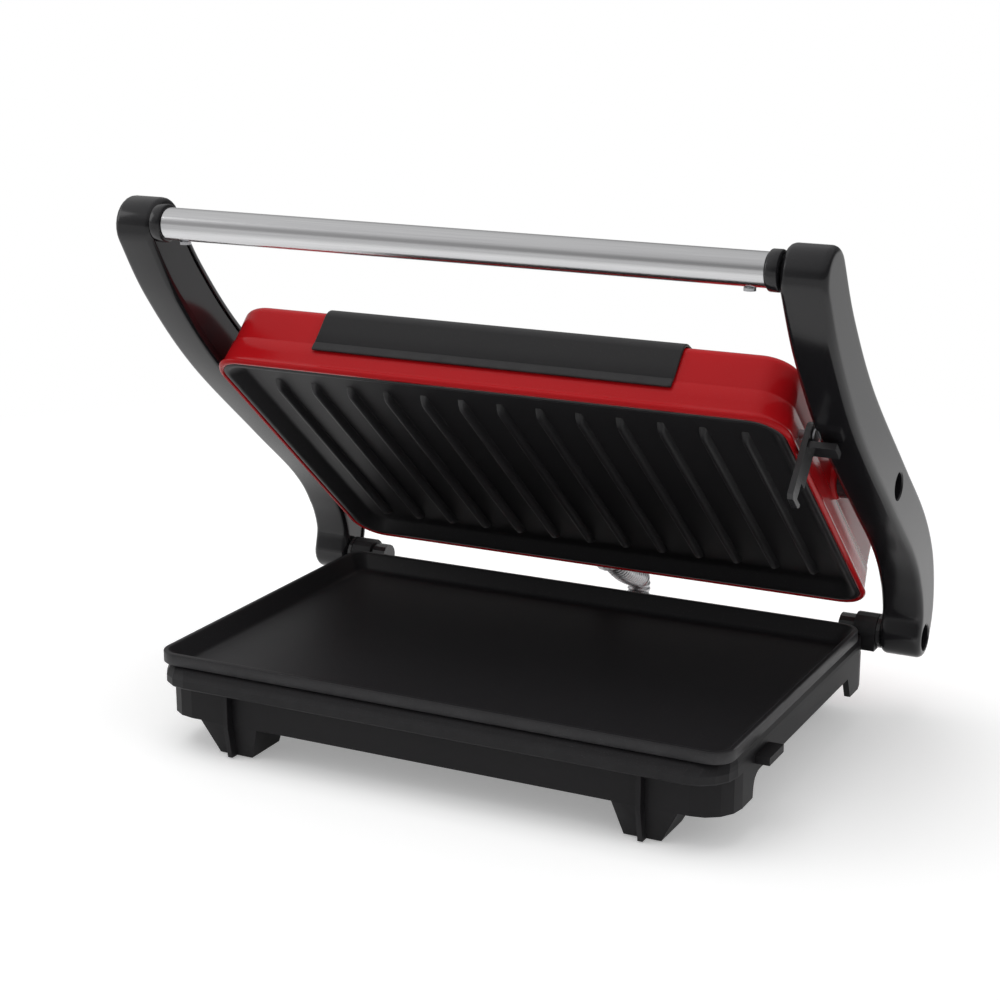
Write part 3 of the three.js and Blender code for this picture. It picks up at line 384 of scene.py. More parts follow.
def make_edge_wear_highlight_group():
    """Masks of convex edges (rubbed wear on the plastics, a painted highlight on the cooking plates) and of
    settled dust on faces that look up.
    """
    group, given, out = new_group(
        "edge_wear_highlight_and_dust",
        (("Edge Start", 0.53), ("Edge Width", 0.06), ("Patch Scale", 140.0)),
        ("Edge", "Dust"),
    )
    shape = group.nodes.new("ShaderNodeNewGeometry")
    where = group.nodes.new("ShaderNodeTexCoord").outputs["Object"]
    patches = noise_in(group, where, given.outputs["Patch Scale"], 4.0, 0.6)
    # The Edge mask is rubbed wear where the plastics use it and a painted highlight where the cooking plates use
    # it.
    over = maths(group, "SUBTRACT", shape.outputs["Pointiness"], given.outputs["Edge Start"])
    edge = maths(group, "DIVIDE", over, given.outputs["Edge Width"], clamp=True)
    group.links.new(maths(group, "MULTIPLY", edge, patches), out.inputs["Edge"])
    apart = group.nodes.new("ShaderNodeSeparateXYZ")
    group.links.new(shape.outputs["Normal"], apart.inputs[0])
    upward = maths(group, "MULTIPLY", apart.outputs["Z"], apart.outputs["Z"], clamp=True)
    specks = noise_in(group, where, 3200.0, 1.0, 0.4)
    few = maths(group, "GREATER_THAN", specks, 0.7)
    group.links.new(maths(group, "MULTIPLY", upward, few), out.inputs["Dust"])


def place_group(tree, name, **values):
    """A node that uses a shared group with this material's own values."""
    node = tree.nodes.new("ShaderNodeGroup")
    node.node_tree = bpy.data.node_groups[name]
    for label, value in values.items():
        node.inputs[label.replace("_", " ").title()].default_value = value
    return node


def mixed(tree, share, first, second):
    """Colour between two colours by a mask socket."""
    node = tree.nodes.new("ShaderNodeMix")
    node.data_type = "RGBA"
    tree.links.new(share, node.inputs[0])
    for i, colour in ((6, first), (7, second)):
        if isinstance(colour, tuple):
            node.inputs[i].default_value = (*colour, 1.0)
        else:
            tree.links.new(colour, node.inputs[i])
    return node.outputs[2]


def spread(tree, value, low, high):
    """A 0..1 socket spread over low..high."""
    node = tree.nodes.new("ShaderNodeMapRange")
    tree.links.new(value, node.inputs["Value"])
    node.inputs["To Min"].default_value = low
    node.inputs["To Max"].default_value = high
    return node.outputs["Result"]


def bump_from(tree, height, distance):
    """A Bump node over a height socket; distance in millimetres."""
    node = tree.nodes.new("ShaderNodeBump")
    node.inputs["Strength"].default_value = 1.0
    node.inputs["Distance"].default_value = distance * MM
    tree.links.new(height, node.inputs["Height"])
    return node.outputs["Normal"]


def new_material(name):
    """An empty material with a Principled shader; gives it, its tree and its shader."""
    material = bpy.data.materials.new(name)
    material.use_nodes = True
    tree = material.node_tree
    return material, tree, tree.nodes["Principled BSDF"]


def plastic(name, colour, worn, rough, grain, grain_mm, wave=40.0, ior=1.5):
    """Moulded plastic or enamel: grain, slow waves, paler rubbed edges and a little dust."""
    material, tree, shader = new_material(name)
    texture = place_group(tree, "surface_grain", grain_scale=grain, wave_scale=wave)
    edge_and_dust_masks = place_group(tree, "edge_wear_highlight_and_dust")
    dust = maths(tree, "MULTIPLY", edge_and_dust_masks.outputs["Dust"], 0.12)
    dusty = mixed(tree, dust, colour, DUST_GREY)
    edge = maths(tree, "MULTIPLY", edge_and_dust_masks.outputs["Edge"], 0.5)
    tree.links.new(mixed(tree, edge, dusty, worn), shader.inputs["Base Color"])
    tree.links.new(
        spread(tree, texture.outputs["Mottle"], rough[0], rough[1]), shader.inputs["Roughness"])
    tree.links.new(bump_from(tree, texture.outputs["Height"], grain_mm), shader.inputs["Normal"])
    shader.inputs["IOR"].default_value = ior
    return material


def brushed(name, colour, dark, rough, lines=1400.0, depth_mm=0.01, stretch=0.02):
    """Brushed or rolled metal: fine lines along X that vary colour, roughness and height."""
    material, tree, shader = new_material(name)
    lines_node = place_group(tree, "brushed_lines", line_scale=lines, stretch=stretch)
    tree.links.new(
        mixed(tree, lines_node.outputs["Streak"], colour, dark), shader.inputs["Base Color"])
    tree.links.new(
        spread(tree, lines_node.outputs["Streak"], rough[0], rough[1]), shader.inputs["Roughness"])
    tree.links.new(
        bump_from(tree, lines_node.outputs["Height"], depth_mm), shader.inputs["Normal"])
    shader.inputs["Metallic"].default_value = 1.0
    return material


def non_stick(name, colour, fleck, rough):
    """Sprayed non-stick coating on cast metal: fine flecks, a soft uneven sheen, and a painted highlight, a paler
    colour along the convex edges of the rims and ribs.
    """
    material, tree, shader = new_material(name)
    texture = place_group(
        tree, "surface_grain", grain_scale=1500.0, wave_scale=22.0, wave_depth=0.6)
    where = tree.nodes.new("ShaderNodeTexCoord").outputs["Object"]
    cells = tree.nodes.new("ShaderNodeTexVoronoi")
    cells.inputs["Scale"].default_value = 900.0
    tree.links.new(where, cells.inputs["Vector"])
    near = maths(tree, "LESS_THAN", cells.outputs["Distance"], 0.17)
    flecked = mixed(tree, maths(tree, "MULTIPLY", near, 0.5), colour, fleck)
    edge_and_dust_masks = place_group(tree, "edge_wear_highlight_and_dust")
    # Painted highlight: the edge mask paints a paler line along the convex edges of the rims and ribs.
    painted_highlight = maths(tree, "MULTIPLY", edge_and_dust_masks.outputs["Edge"], 1.6, clamp=True)
    tree.links.new(mixed(tree, painted_highlight, flecked, PAINTED_EDGE_HIGHLIGHT), shader.inputs["Base Color"])
    tree.links.new(
        spread(tree, texture.outputs["Mottle"], rough[0], rough[1]), shader.inputs["Roughness"])
    tree.links.new(bump_from(tree, texture.outputs["Height"], 0.02), shader.inputs["Normal"])
    shader.inputs["IOR"].default_value = COATING_IOR
    return material


# ---- What a user would change ----------------------------------------------------------


class PressColours(bpy.types.PropertyGroup):
    """Colours of the press's finishes."""

    lid: bpy.props.FloatVectorProperty(
        name="Lid", description="Gloss colour of the lid cover", subtype="COLOR", size=3,
        min=0.0, max=1.0, default=(0.48, 0.0075, 0.011))
    housing: bpy.props.FloatVectorProperty(
        name="Housing", description="Matt colour of the base housing", subtype="COLOR", size=3,
        min=0.0, max=1.0, default=(0.0105, 0.0098, 0.011))
    arms: bpy.props.FloatVectorProperty(
        name="Arms", description="Gloss colour of the arms", subtype="COLOR", size=3,
        min=0.0, max=1.0, default=(0.011, 0.0105, 0.012))
    accent: bpy.props.FloatVectorProperty(
        name="Accent panel", description="Satin colour of the panel on the lid's front",
        subtype="COLOR", size=3, min=0.0, max=1.0, default=(0.022, 0.0215, 0.0225))
    plates: bpy.props.FloatVectorProperty(
        name="Cooking plates", description="Colour of the non-stick coating", subtype="COLOR",
        size=3, min=0.0, max=1.0, default=(0.018, 0.0172, 0.0187))


class PressDetail(bpy.types.PropertyGroup):
    """Sizes of the fine detail."""

    edge_round: bpy.props.FloatProperty(
        name="Edge round", description="Round on the moulded edges of the base", subtype="DISTANCE",
        unit="LENGTH", min=0.0, max=0.002, default=0.0006)
    conduit_pitch: bpy.props.FloatProperty(
        name="Conduit pitch", description="Distance between two ribs of the flexible conduit",
        subtype="DISTANCE", unit="LENGTH", min=0.001, max=0.006, default=0.0023)
    conduit_rib: bpy.props.FloatProperty(
        name="Conduit rib", description="Height of the ribs of the flexible conduit",
        subtype="DISTANCE", unit="LENGTH", min=0.0001, max=0.0015, default=0.0006)


class PressStudio(bpy.types.PropertyGroup):
    """Camera and light."""

    azimuth: bpy.props.FloatProperty(
        name="Camera azimuth", description="Turn of the camera towards the press's right",
        subtype="ANGLE", unit="ROTATION", default=math.radians(26.6577))
    elevation: bpy.props.FloatProperty(
        name="Camera elevation", description="Height of the camera above the horizon",
        subtype="ANGLE", unit="ROTATION", default=math.radians(15.5223))
    distance: bpy.props.FloatProperty(
        name="Camera distance", description="Distance from the camera to its target",
        subtype="DISTANCE", unit="LENGTH", default=1.05571)
    light: bpy.props.FloatProperty(
        name="Lamp power", description="Power of the main lamp in watts", subtype="POWER",
        unit="POWER", min=0.0, default=9.0)


# ---- Pieces ----------------------------------------------------------------------------


def lid_profile():
    """(inset, height) of the lid's outer surface above its rim, from the bead to the crown."""
    profile = [(LID_BEAD * (1 - math.sin(math.pi * i / 8)), 4 * LID_BEAD * i / 8) for i in range(9)]
    profile[0] = (LID_BEAD, 0.0)
    profile += [(LID_BEAD + 0.12, 3.6), (1.1, 7.0), (LID_LEAN - 0.05, LID_CREASE - 0.5)]
    profile += [(LID_LEAN + 0.3, LID_CREASE), (LID_LEAN + 0.32, LID_CREASE + 0.6)]
    wall_top = LID_EDGE - LID_EDGE_RADIUS
    lean = 1.5 * LID_LEAN
    profile += [(lean - 0.2, (LID_CREASE + wall_top) / 2), (lean, wall_top)]
    for i in range(1, 9):
        angle = 0.5 * math.pi * i / 8 * 0.94
        profile.append((
            lean + LID_EDGE_RADIUS * (1 - math.cos(angle)),
            wall_top + LID_EDGE_RADIUS * math.sin(angle),
        ))
    start = profile[-1]
    for share in (0.1, 0.25, 0.45, 0.7, 0.88, 1.0):
        inset = start[0] + (LID_CROWN_INSET - start[0]) * share
        rise = 1 - (1 - share) ** 1.7
        profile.append((inset, start[1] + (LID_CROWN - start[1]) * rise))
    return profile


def lid_ring(inset, height):
    """The lid's outline at a height above its rim, drawn in by inset."""
    radius = max(2.0, LID_CORNER - 0.35 * min(inset, 12.0))
    return ring(LID_RIM + height, LID_HALF_WIDTH - inset, -(LID_HALF_DEPTH - inset),
                LID_HALF_DEPTH - inset, radius)


def lid_boss():
    """Short boss on the lid's right side round its pivot pin."""
    root, face = LID_HALF_WIDTH - BOSS_DEPTH, LID_HALF_WIDTH
    profile = [(root, BOSS_RADIUS), (face - 0.4, BOSS_RADIUS), (face, BOSS_RADIUS - 0.4),
               (face, BOSS_BORE), (root, BOSS_BORE)]
    return turned(profile, (0, 0))


class PRESS_OT_lid_cover(bpy.types.Operator):
    """Builds the lid's gloss cover with its bead, crease and crown"""

    bl_idname = "press.lid_cover"
    bl_label = "Lid cover"

    def execute(self, context):
        colour = tuple(context.scene.press_colours.lid)
        gloss = plastic("lid_gloss", colour, (0.55, 0.03, 0.035), (0.14, 0.2), 420.0, 0.004,
                        wave=34.0, ior=1.27)
        rings = [lid_ring(LID_WALL, 4.0), lid_ring(LID_WALL, 0.5), lid_ring(LID_WALL - 0.5, 0.0)]
        rings += [lid_ring(inset, height) for inset, height in lid_profile()]
        shell = merged([skin(rings, cap_last=True), lid_boss(), other_side(lid_boss())])
        mesh_piece("lid_shell", shell, LID_PLACE, gloss, "lid", ["lid_cover"], 50)
        return {"FINISHED"}


class PRESS_OT_accent_panel(bpy.types.Operator):
    """Builds the satin panel that wraps from the lid's front over its top"""

    bl_idname = "press.accent_panel"
    bl_label = "Accent panel"

    def execute(self, context):
        colour = tuple(context.scene.press_colours.accent)
        satin = plastic("accent_satin", colour, (0.16, 0.16, 0.165), (0.3, 0.38), 2600.0, 0.006,
                        wave=18.0, ior=1.3)
        line = [(-(LID_HALF_DEPTH - inset), LID_RIM + height)
                for inset, height in lid_profile() if height > ACCENT_BOTTOM + 0.3]
        first = line[0]
        line.insert(0, (first[0] - 0.25, LID_RIM + ACCENT_BOTTOM))
        rear = -LID_HALF_DEPTH + ACCENT_DEPTH
        line = [point for point in line if point[0] < rear] + [(rear, LID_RIM + LID_CROWN)]
        under, over = [], []
        for i, point in enumerate(line):
            before, after = line[max(i - 1, 0)], line[min(i + 1, len(line) - 1)]
            along = Vector((after[0] - before[0], after[1] - before[1])).normalized()
            out = Vector((-along.y, along.x))
            under.append(Vector(point) + out * ACCENT_GAP)
            over.append(Vector(point) + out * ACCENT_PROUD)
        outline = under + list(reversed(over))
        left = [(-ACCENT_HALF_WIDTH, p.x, p.y) for p in outline]
        right = [(ACCENT_HALF_WIDTH, p.x, p.y) for p in outline]
        count = len(line)
        verts, faces = skin([left, right])
        total = len(outline)
        for start, flip in ((0, True), (total, False)):
            for i in range(count - 1):
                face = (start + i, start + i + 1, start + total - 2 - i, start + total - 1 - i)
                faces.append(tuple(reversed(face)) if flip else face)
        panel = mesh_piece("accent_wrap", (verts, faces), LID_PLACE, satin, "lid",
                           ["lid_accent_panel"], 32)
        soften(panel, 0.5, 3, 50)
        return {"FINISHED"}


def plate_rib(x, front, rear):
    """One grill rib with a rounded crest and sloping ends, hanging below its root."""
    root = LID_RIM + RIBBED_DEPTH + RIB_SINK
    run = RIB_HEIGHT * 1.4
    stations = [(front, 0.0), (front + run * 0.5, 0.62), (front + run, 0.95),
                (front + run * 1.5, 1.0)]
    stations += [(front + rear - y, height) for y, height in reversed(stations)]
    rings = []
    for y, share in stations:
        crest = (RIB_HEIGHT + RIB_SINK) * share
        wide = RIB_WIDTH / 2
        narrow = RIB_WIDTH / 5
        half = [(wide, 0.0), (wide * 0.86, crest * 0.25), (narrow + 0.35, crest * 0.8),
                (narrow, crest * 0.95), (narrow * 0.4, crest)]
        points = half + [(-a, b) for a, b in reversed(half)]
        rings.append([(x + a, y, root - b) for a, b in points])
    return skin(rings, cap_first=True, cap_last=True)


class PRESS_OT_cooking_plates(bpy.types.Operator):
    """Builds the flat lower plate and the ribbed upper plate with their raised rims"""

    bl_idname = "press.cooking_plates"
    bl_label = "Cooking plates"

    def execute(self, context):
        colour = tuple(context.scene.press_colours.plates)
        coat = non_stick("plate_coating", colour, (0.05, 0.05, 0.052), (0.4, 0.5))

        def at(z, inset, radius):
            return ring(z, HALF_WIDTH - inset, -(HALF_DEPTH - inset), HALF_DEPTH - inset, radius)

        corner = PLATE_CORNER
        body, cut = PLATE_BODY_CORNER, PLATE_BODY_CHAMFER
        rings = [at(LOWER_UNDERSIDE, BODY_INSET + cut, body - cut),
                 at(LOWER_UNDERSIDE + cut, BODY_INSET, body),
                 at(-PLATE_RIM_HEIGHT, BODY_INSET, body),
                 at(-PLATE_RIM_HEIGHT, PLATE_EDGE, corner - PLATE_EDGE),
                 at(-PLATE_RIM_HEIGHT + PLATE_EDGE, 0.0, corner)]
        rings += [at(-drop, inset, corner - inset) for drop, inset in quarter(5, PLATE_EDGE)]
        rings += [at(-drop, inset, max(LEAST_CORNER, corner - inset))
                  for inset, drop in LOWER_RECESS]
        mesh_piece("griddle_plate", skin(rings, True, True), BASE_PLACE, coat, "base",
                   ["lower_plate"], 50)

        wide = LID_HALF_WIDTH - LID_WALL - FIT_GAP
        deep = LID_HALF_DEPTH - LID_WALL - FIT_GAP
        bend = LID_CORNER - LID_WALL - FIT_GAP

        def up(z, inset):
            return ring(LID_RIM + z, wide - inset, -(deep - inset), deep - inset,
                        max(5.0, bend - 0.6 * inset))

        rings = [up(RIBBED_DEPTH + PLATE_FLOOR, 4.5), up(PLATE_RIM_HEIGHT, 4.5),
                 up(PLATE_RIM_HEIGHT, 0.0)]
        rings += [up(height, inset) for height, inset in UPPER_RECESS]
        parts = [skin(rings, True, True)]
        for i in range(RIB_COUNT):
            x = (i - (RIB_COUNT - 1) / 2) * RIB_PITCH
            parts.append(plate_rib(x, -deep + RIB_FRONT_GAP, deep - RIB_REAR_GAP))
        mesh_piece("ribbed_plate", merged(parts), LID_PLACE, coat, "lid", ["upper_plate"],
                   50)
        return {"FINISHED"}


def arm_spine():
    """The arm's centre line, as even steps of (y, z) from the hinge to the tip."""
    tip = TUBE_AT + Vector((4.8, 1.6))
    rise = tip.y - PIVOT_YZ.y

    def along(share, lift):
        return Vector((PIVOT_YZ.x + (tip.x - PIVOT_YZ.x) * share, PIVOT_YZ.y + lift))

    knots = [Vector((0, 0)), Vector((-6, PIVOT_YZ.y * 0.46)), Vector((-22, PIVOT_YZ.y * 0.86)),
             Vector((-46, PIVOT_YZ.y + 0.9)), PIVOT_YZ, along(0.46, -0.8), along(0.79, rise * 0.37),
             tip]
    fine = []
    for i in range(len(knots) - 1):
        a = knots[max(i - 1, 0)]
        b, c = knots[i], knots[i + 1]
        d = knots[min(i + 2, len(knots) - 1)]
        for step in range(40):
            t = step / 40
            v0, v1 = (c - a) * 0.5, (d - b) * 0.5
            fine.append((2 * b - 2 * c + v0 + v1) * t ** 3 + (-3 * b + 3 * c - 2 * v0 - v1) * t ** 2
                        + v0 * t + b)
    fine.append(tip)
    lengths = [0.0]
    for a, b in zip(fine, fine[1:]):
        lengths.append(lengths[-1] + (b - a).length)
    even, k, steps = [], 0, 64
    for i in range(steps + 1):
        target = lengths[-1] * i / steps
        while k + 1 < len(lengths) - 1 and lengths[k + 1] < target:
            k += 1
        share = (target - lengths[k]) / (lengths[k + 1] - lengths[k])
        even.append(fine[k].lerp(fine[k + 1], min(share, 1.0)))
    return even


SPINE = arm_spine()


def arm_outline(inset):
    """Closed outline of the arm in (y, z), drawn in by inset."""
    last = len(SPINE) - 1
    one, other = [], []
    for i, point in enumerate(SPINE):
        along = (SPINE[min(i + 1, last)] - SPINE[max(i - 1, 0)]).normalized()
        swell = (ARM_HINGE_RADIUS - ARM_HALF_WIDTH) * max(0.0, 1 - (i / last) / 0.14)
        reach = ARM_HALF_WIDTH + swell - inset
        side = Vector((-along.y, along.x)) * reach
        one.append(point + side)
        other.append(point - side)

    def cap(centre, radius, from_point):
        start = math.atan2(*(reversed((from_point - centre)[:])))
        return [centre + radius * Vector((math.cos(start - math.pi * i / 14),
                                          math.sin(start - math.pi * i / 14)))
                for i in range(1, 14)]

    tip = cap(SPINE[-1], ARM_HALF_WIDTH - inset, one[-1])
    hinge = cap(SPINE[0], ARM_HINGE_RADIUS - inset, other[0])
    return one + tip + list(reversed(other)) + hinge


def arm_shell():
    """The right arm: a rounded bar with a shallow recess in its inner face."""
    rings = [(ARM_WALL, ARM_INNER + 2.9), (ARM_WALL, ARM_INNER + 0.25), (ARM_WALL - 0.2, ARM_INNER)]
    rings += [(along, ARM_INNER + across) for along, across in quarter(6, ARM_EDGE)]
    rings += [(along, ARM_OUTER - across) for along, across in reversed(quarter(6, ARM_EDGE))]
    rings += [(ARM_EDGE + 1.2, ARM_OUTER)]
    return skin([[(x, p.x, p.y) for p in arm_outline(inset)] for inset, x in rings], True, True)


def arm_lining():
    """The cover plate let into the right arm's inner face."""
    inset = ARM_WALL + 0.35
    rings = [(inset, ARM_INNER + 2.6), (inset, ARM_INNER + 1.1), (inset + 0.3, ARM_INNER + 0.8)]
    return skin([[(x, p.x, p.y) for p in arm_outline(edge)] for edge, x in rings], True, True)


class PRESS_OT_arms(bpy.types.Operator):
    """Builds the two curved arms, their inner covers, screw recesses, collars and tube handle"""

    bl_idname = "press.arms"
    bl_label = "Arms and handle"

    def execute(self, context):
        colour = tuple(context.scene.press_colours.arms)
        gloss = plastic("arm_gloss", colour, (0.07, 0.07, 0.072), (0.13, 0.2), 700.0, 0.003,
                        wave=26.0)
        for side in ("right", "left"):
            flip = other_side if side == "left" else (lambda shape: shape)
            shell = mesh_piece(f"{side}_arm_shell", flip(arm_shell()), ARM_PLACE, gloss, "arms",
                               [f"{side}_arm"])
            floor = ARM_OUTER - ARM_RECESS_DEPTH
            tools = []
            for at in (Vector((0, 0)), PIVOT_YZ):
                profile = [(floor, 0.01), (floor, ARM_RECESS_RADIUS),
                           (ARM_OUTER - 0.5, ARM_RECESS_RADIUS),
                           (ARM_OUTER + 0.05, ARM_RECESS_RADIUS + 0.55),
                           (ARM_OUTER + 2, ARM_RECESS_RADIUS + 0.55), (ARM_OUTER + 2, 0.01)]
                tools.append((flip(turned(profile, at)), ARM_PLACE))
            carve(shell, tools)
            mesh_piece(f"{side}_arm_lining", flip(arm_lining()), ARM_PLACE, gloss, "arms",
                       [f"{side}_arm_cover"])
            end = ARM_INNER - FIT_GAP
            profile = [(COLLAR_INNER, TUBE_RADIUS - TUBE_WALL - FIT_GAP),
                       (COLLAR_INNER, COLLAR_RADIUS - 0.5),
                       (COLLAR_INNER + 0.2, COLLAR_RADIUS - 0.15),
                       (COLLAR_INNER + 0.5, COLLAR_RADIUS),
                       (end - 0.5, COLLAR_RADIUS), (end - 0.15, COLLAR_RADIUS - 0.15),
                       (end, COLLAR_RADIUS - 0.5), (end, 3.0), (COLLAR_INNER + 1, 3.0)]
            mesh_piece(f"{side}_collar_ring", flip(turned(profile, TUBE_AT)), ARM_PLACE, gloss,
                       "arms", [f"{side}_handle_collar"])
        bright = brushed("handle_bright", (0.78, 0.78, 0.79), (0.62, 0.62, 0.63), (0.16, 0.26),
                         1600.0, 0.004, 0.012)
        inner = TUBE_RADIUS - TUBE_WALL
        half = [(0.0, TUBE_RADIUS), (60.0, TUBE_RADIUS), (TUBE_END - 0.3, TUBE_RADIUS),
                (TUBE_END, TUBE_RADIUS - 0.3), (TUBE_END, inner), (TUBE_END - 12, inner)]
        profile = [(-x, r) for x, r in reversed(half)] + half[1:]
        mesh_piece("handle_bar", turned(profile, TUBE_AT, 64), ARM_PLACE, bright, "arms",
                   ["handle_tube"], 40)
        return {"FINISHED"}


def opened(y, z):
    """A point of the shut lid, in the base's millimetres, turned to the rest angle."""
    turn = Matrix.Rotation(-OPEN_ANGLE, 2)
    return HINGE_YZ + turn @ (Vector((y, z)) - HINGE_YZ)


def bezier(a, b, c, d, steps):
    """Even steps of t along a cubic curve with two ends and two handles."""
    return [a * (1 - t) ** 3 + b * 3 * t * (1 - t) ** 2 + c * 3 * t * t * (1 - t) + d * t ** 3
            for t in (i / steps for i in range(steps + 1))]


def conduit_route():
    """Centre line of the conduit in (y, z), from the lid's rear wall to the base's."""
    straight = CONDUIT_STRAIGHT
    lid_end = opened(LID_HALF_DEPTH - LID_WALL + FIT_GAP, CONDUIT_EXIT)
    lid_mouth = opened(LID_HALF_DEPTH + straight, CONDUIT_EXIT)
    lid_tangent = opened(LID_HALF_DEPTH + straight + CONDUIT_REACH * 0.68, CONDUIT_EXIT)
    base_end = Vector((REAR - 3.5, -CONDUIT_DROP))
    base_mouth = Vector((REAR + straight, -CONDUIT_DROP))
    base_tangent = base_mouth + Vector((CONDUIT_REACH * 0.42, 0))
    bend = Vector((REAR + CONDUIT_REACH, -CONDUIT_DROP + CONDUIT_REACH * 0.15))
    upper = bezier(lid_mouth, lid_tangent, bend + Vector((0, 7)), bend, 60)
    low = bend - Vector((0, CONDUIT_JOINT))
    lower = bezier(low, bend - Vector((0, CONDUIT_REACH * 0.34)), base_tangent, base_mouth, 60)
    return [lid_end, *upper, *lower, base_end]


class PRESS_OT_conduit(bpy.types.Operator):
    """Builds the ribbed flexible conduit that carries the wires from the base to the lid"""

    bl_idname = "press.conduit"
    bl_label = "Flexible conduit"

    def execute(self, context):
        detail = context.scene.press_detail
        pitch, height = detail.conduit_pitch / MM, detail.conduit_rib / MM
        route = conduit_route()
        lengths = [0.0]
        for a, b in zip(route, route[1:]):
            lengths.append(lengths[-1] + (b - a).length)
        per_rib, sides = 8, 32
        steps = int(lengths[-1] / pitch * per_rib)
        rings, k = [], 0
        for i in range(steps + 1):
            target = lengths[-1] * i / steps
            while k + 1 < len(lengths) - 1 and lengths[k + 1] < target:
                k += 1
            share = (target - lengths[k]) / max(lengths[k + 1] - lengths[k], 1e-9)
            centre = route[k].lerp(route[k + 1], min(share, 1.0))
            ahead = (route[min(k + 2, len(route) - 1)] - route[max(k - 1, 0)]).normalized()
            across = Vector((-ahead.y, ahead.x))
            wave = 0.5 - 0.5 * math.cos(2 * math.pi * i / per_rib)
            radius = CONDUIT_RADIUS - height * (1 - wave ** 0.6)
            free = min(max((target - CONDUIT_CUFF) / CONDUIT_FLARE, 0.0), 1.0)
            radius = CONDUIT_NECK + (radius - CONDUIT_NECK) * free
            one = []
            for j in range(sides):
                angle = 2 * math.pi * j / sides
                point = centre + across * radius * math.sin(angle)
                one.append((radius * math.cos(angle), point.x, point.y))
            rings.append(one)
        silver = brushed("conduit_silver", (0.6, 0.6, 0.61), (0.45, 0.45, 0.46), (0.22, 0.34),
                         900.0, 0.004, 0.5)
        hose = mesh_piece("conduit_hose", skin(rings, True, True), BASE_PLACE, silver, None,
                          ["conduit_upper", "conduit_lower"], 70)
        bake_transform(hose)
        return {"FINISHED"}


class PRESS_OT_base_and_fittings(bpy.types.Operator):
    """Finishes the base housing, feet, hinge hardware, latch, screws and heaters"""

    bl_idname = "press.base_and_fittings"
    bl_label = "Base and fittings"

    def execute(self, context):
        colours = context.scene.press_colours
        housing = plastic("housing_matt", tuple(colours.housing), (0.06, 0.06, 0.062),
                          (0.42, 0.54), 1700.0, 0.03, wave=16.0, ior=1.3)
        fitting = plastic("fitting_gloss", tuple(colours.arms), (0.07, 0.07, 0.072), (0.2, 0.3),
                          900.0, 0.004)
        soft_rubber = plastic("foot_rubber", (0.015, 0.015, 0.015), (0.05, 0.05, 0.05),
                              (0.7, 0.85), 1300.0, 0.04)
        steel = brushed("zinc_steel", (0.62, 0.62, 0.64), (0.46, 0.46, 0.48), (0.24, 0.38))
        sheet = brushed("shield_sheet", (0.68, 0.68, 0.69), (0.55, 0.55, 0.56), (0.3, 0.45), 700.0)
        sheath = brushed("heater_sheath", (0.3, 0.27, 0.24), (0.2, 0.19, 0.18), (0.4, 0.55), 500.0)
        ceramic = plastic("glazed_ceramic", (0.62, 0.58, 0.5), (0.7, 0.67, 0.6), (0.35, 0.5),
                          600.0, 0.02)
        conduit = bpy.data.materials["conduit_silver"]
        by_slot = {
            "housing_plastic": (housing, context.scene.press_detail.edge_round / MM),
            "arm_plastic": (fitting, 0.35),
            "foot_rubber": (soft_rubber, 0.4),
            "hardware_steel": (steel, 0.25),
            "conduit_metal": (conduit, 0.3),
            "shield_sheet": (sheet, 0.15),
            "insulator": (ceramic, 0.4),
        }
        slots = {row["node"]: row["material_slot"] for row in frame["record"]["subparts"]}
        for name, node in frame["nodes"].items():
            if node.hide_render:
                continue
            material, width = by_slot[slots[name]]
            if "heating_element" in name:
                material = sheath
            node.data.materials.clear()
            node.data.materials.append(material)
            node.data.shade_smooth()
            node.data.set_sharp_from_angle(angle=math.radians(35))
            soften(node, width, 2)
        return {"FINISHED"}


# ---- Studio ----------------------------------------------------------------------------

FLOOR_REACH = 6.0
FLOOR_GREY = (0.9, 0.9, 0.9)
FADE_RATE = 3.5  # how fast the floor turns plain white, per metre from its middle
FADE_START = -1.2
NEAR_GLOW = (0.28, 0.28, 0.28)
NEAR_MIRROR_GLOW = (0.1, 0.1, 0.1)
FAR_MIRROR_GLOW = (0.62, 0.62, 0.62)
# (share of the height from nadir to zenith, brightness in reflections)
SKY_BANDS = ((0.0, 0.8), (0.47, 0.7), (0.53, 0.14), (0.66, 0.13), (0.8, 0.4), (1.0, 0.5))
SKY_GREY = (0.55, 0.55, 0.55)
LEFT_GLOW = -0.4
MIDDLE = (0.0, 0.0, 0.1)
CAMERA_LENS = 76.938
CAMERA_SENSOR = 36.0
CAMERA_TARGET = Vector((-0.0983796, 0.1822649, 0.0))  # from the middle of the lower plate's rim
BLACK = (0.0, 0.0, 0.0)
WHITE = (1.0, 1.0, 1.0)


def area_lamp(name, place, target, size, power, height=None):
    """A soft rectangular lamp that faces its target."""
    data = bpy.data.lights.new(name, "AREA")
    data.shape = "RECTANGLE"
    data.size = size
    data.size_y = height or size
    data.energy = power
    lamp = bpy.data.objects.new(name, data)
    bpy.context.scene.collection.objects.link(lamp)
    lamp.location = place
    lamp.rotation_mode = "QUATERNION"
    lamp.rotation_quaternion = (Vector(target) - Vector(place)).to_track_quat("-Z", "Y")
    return lamp


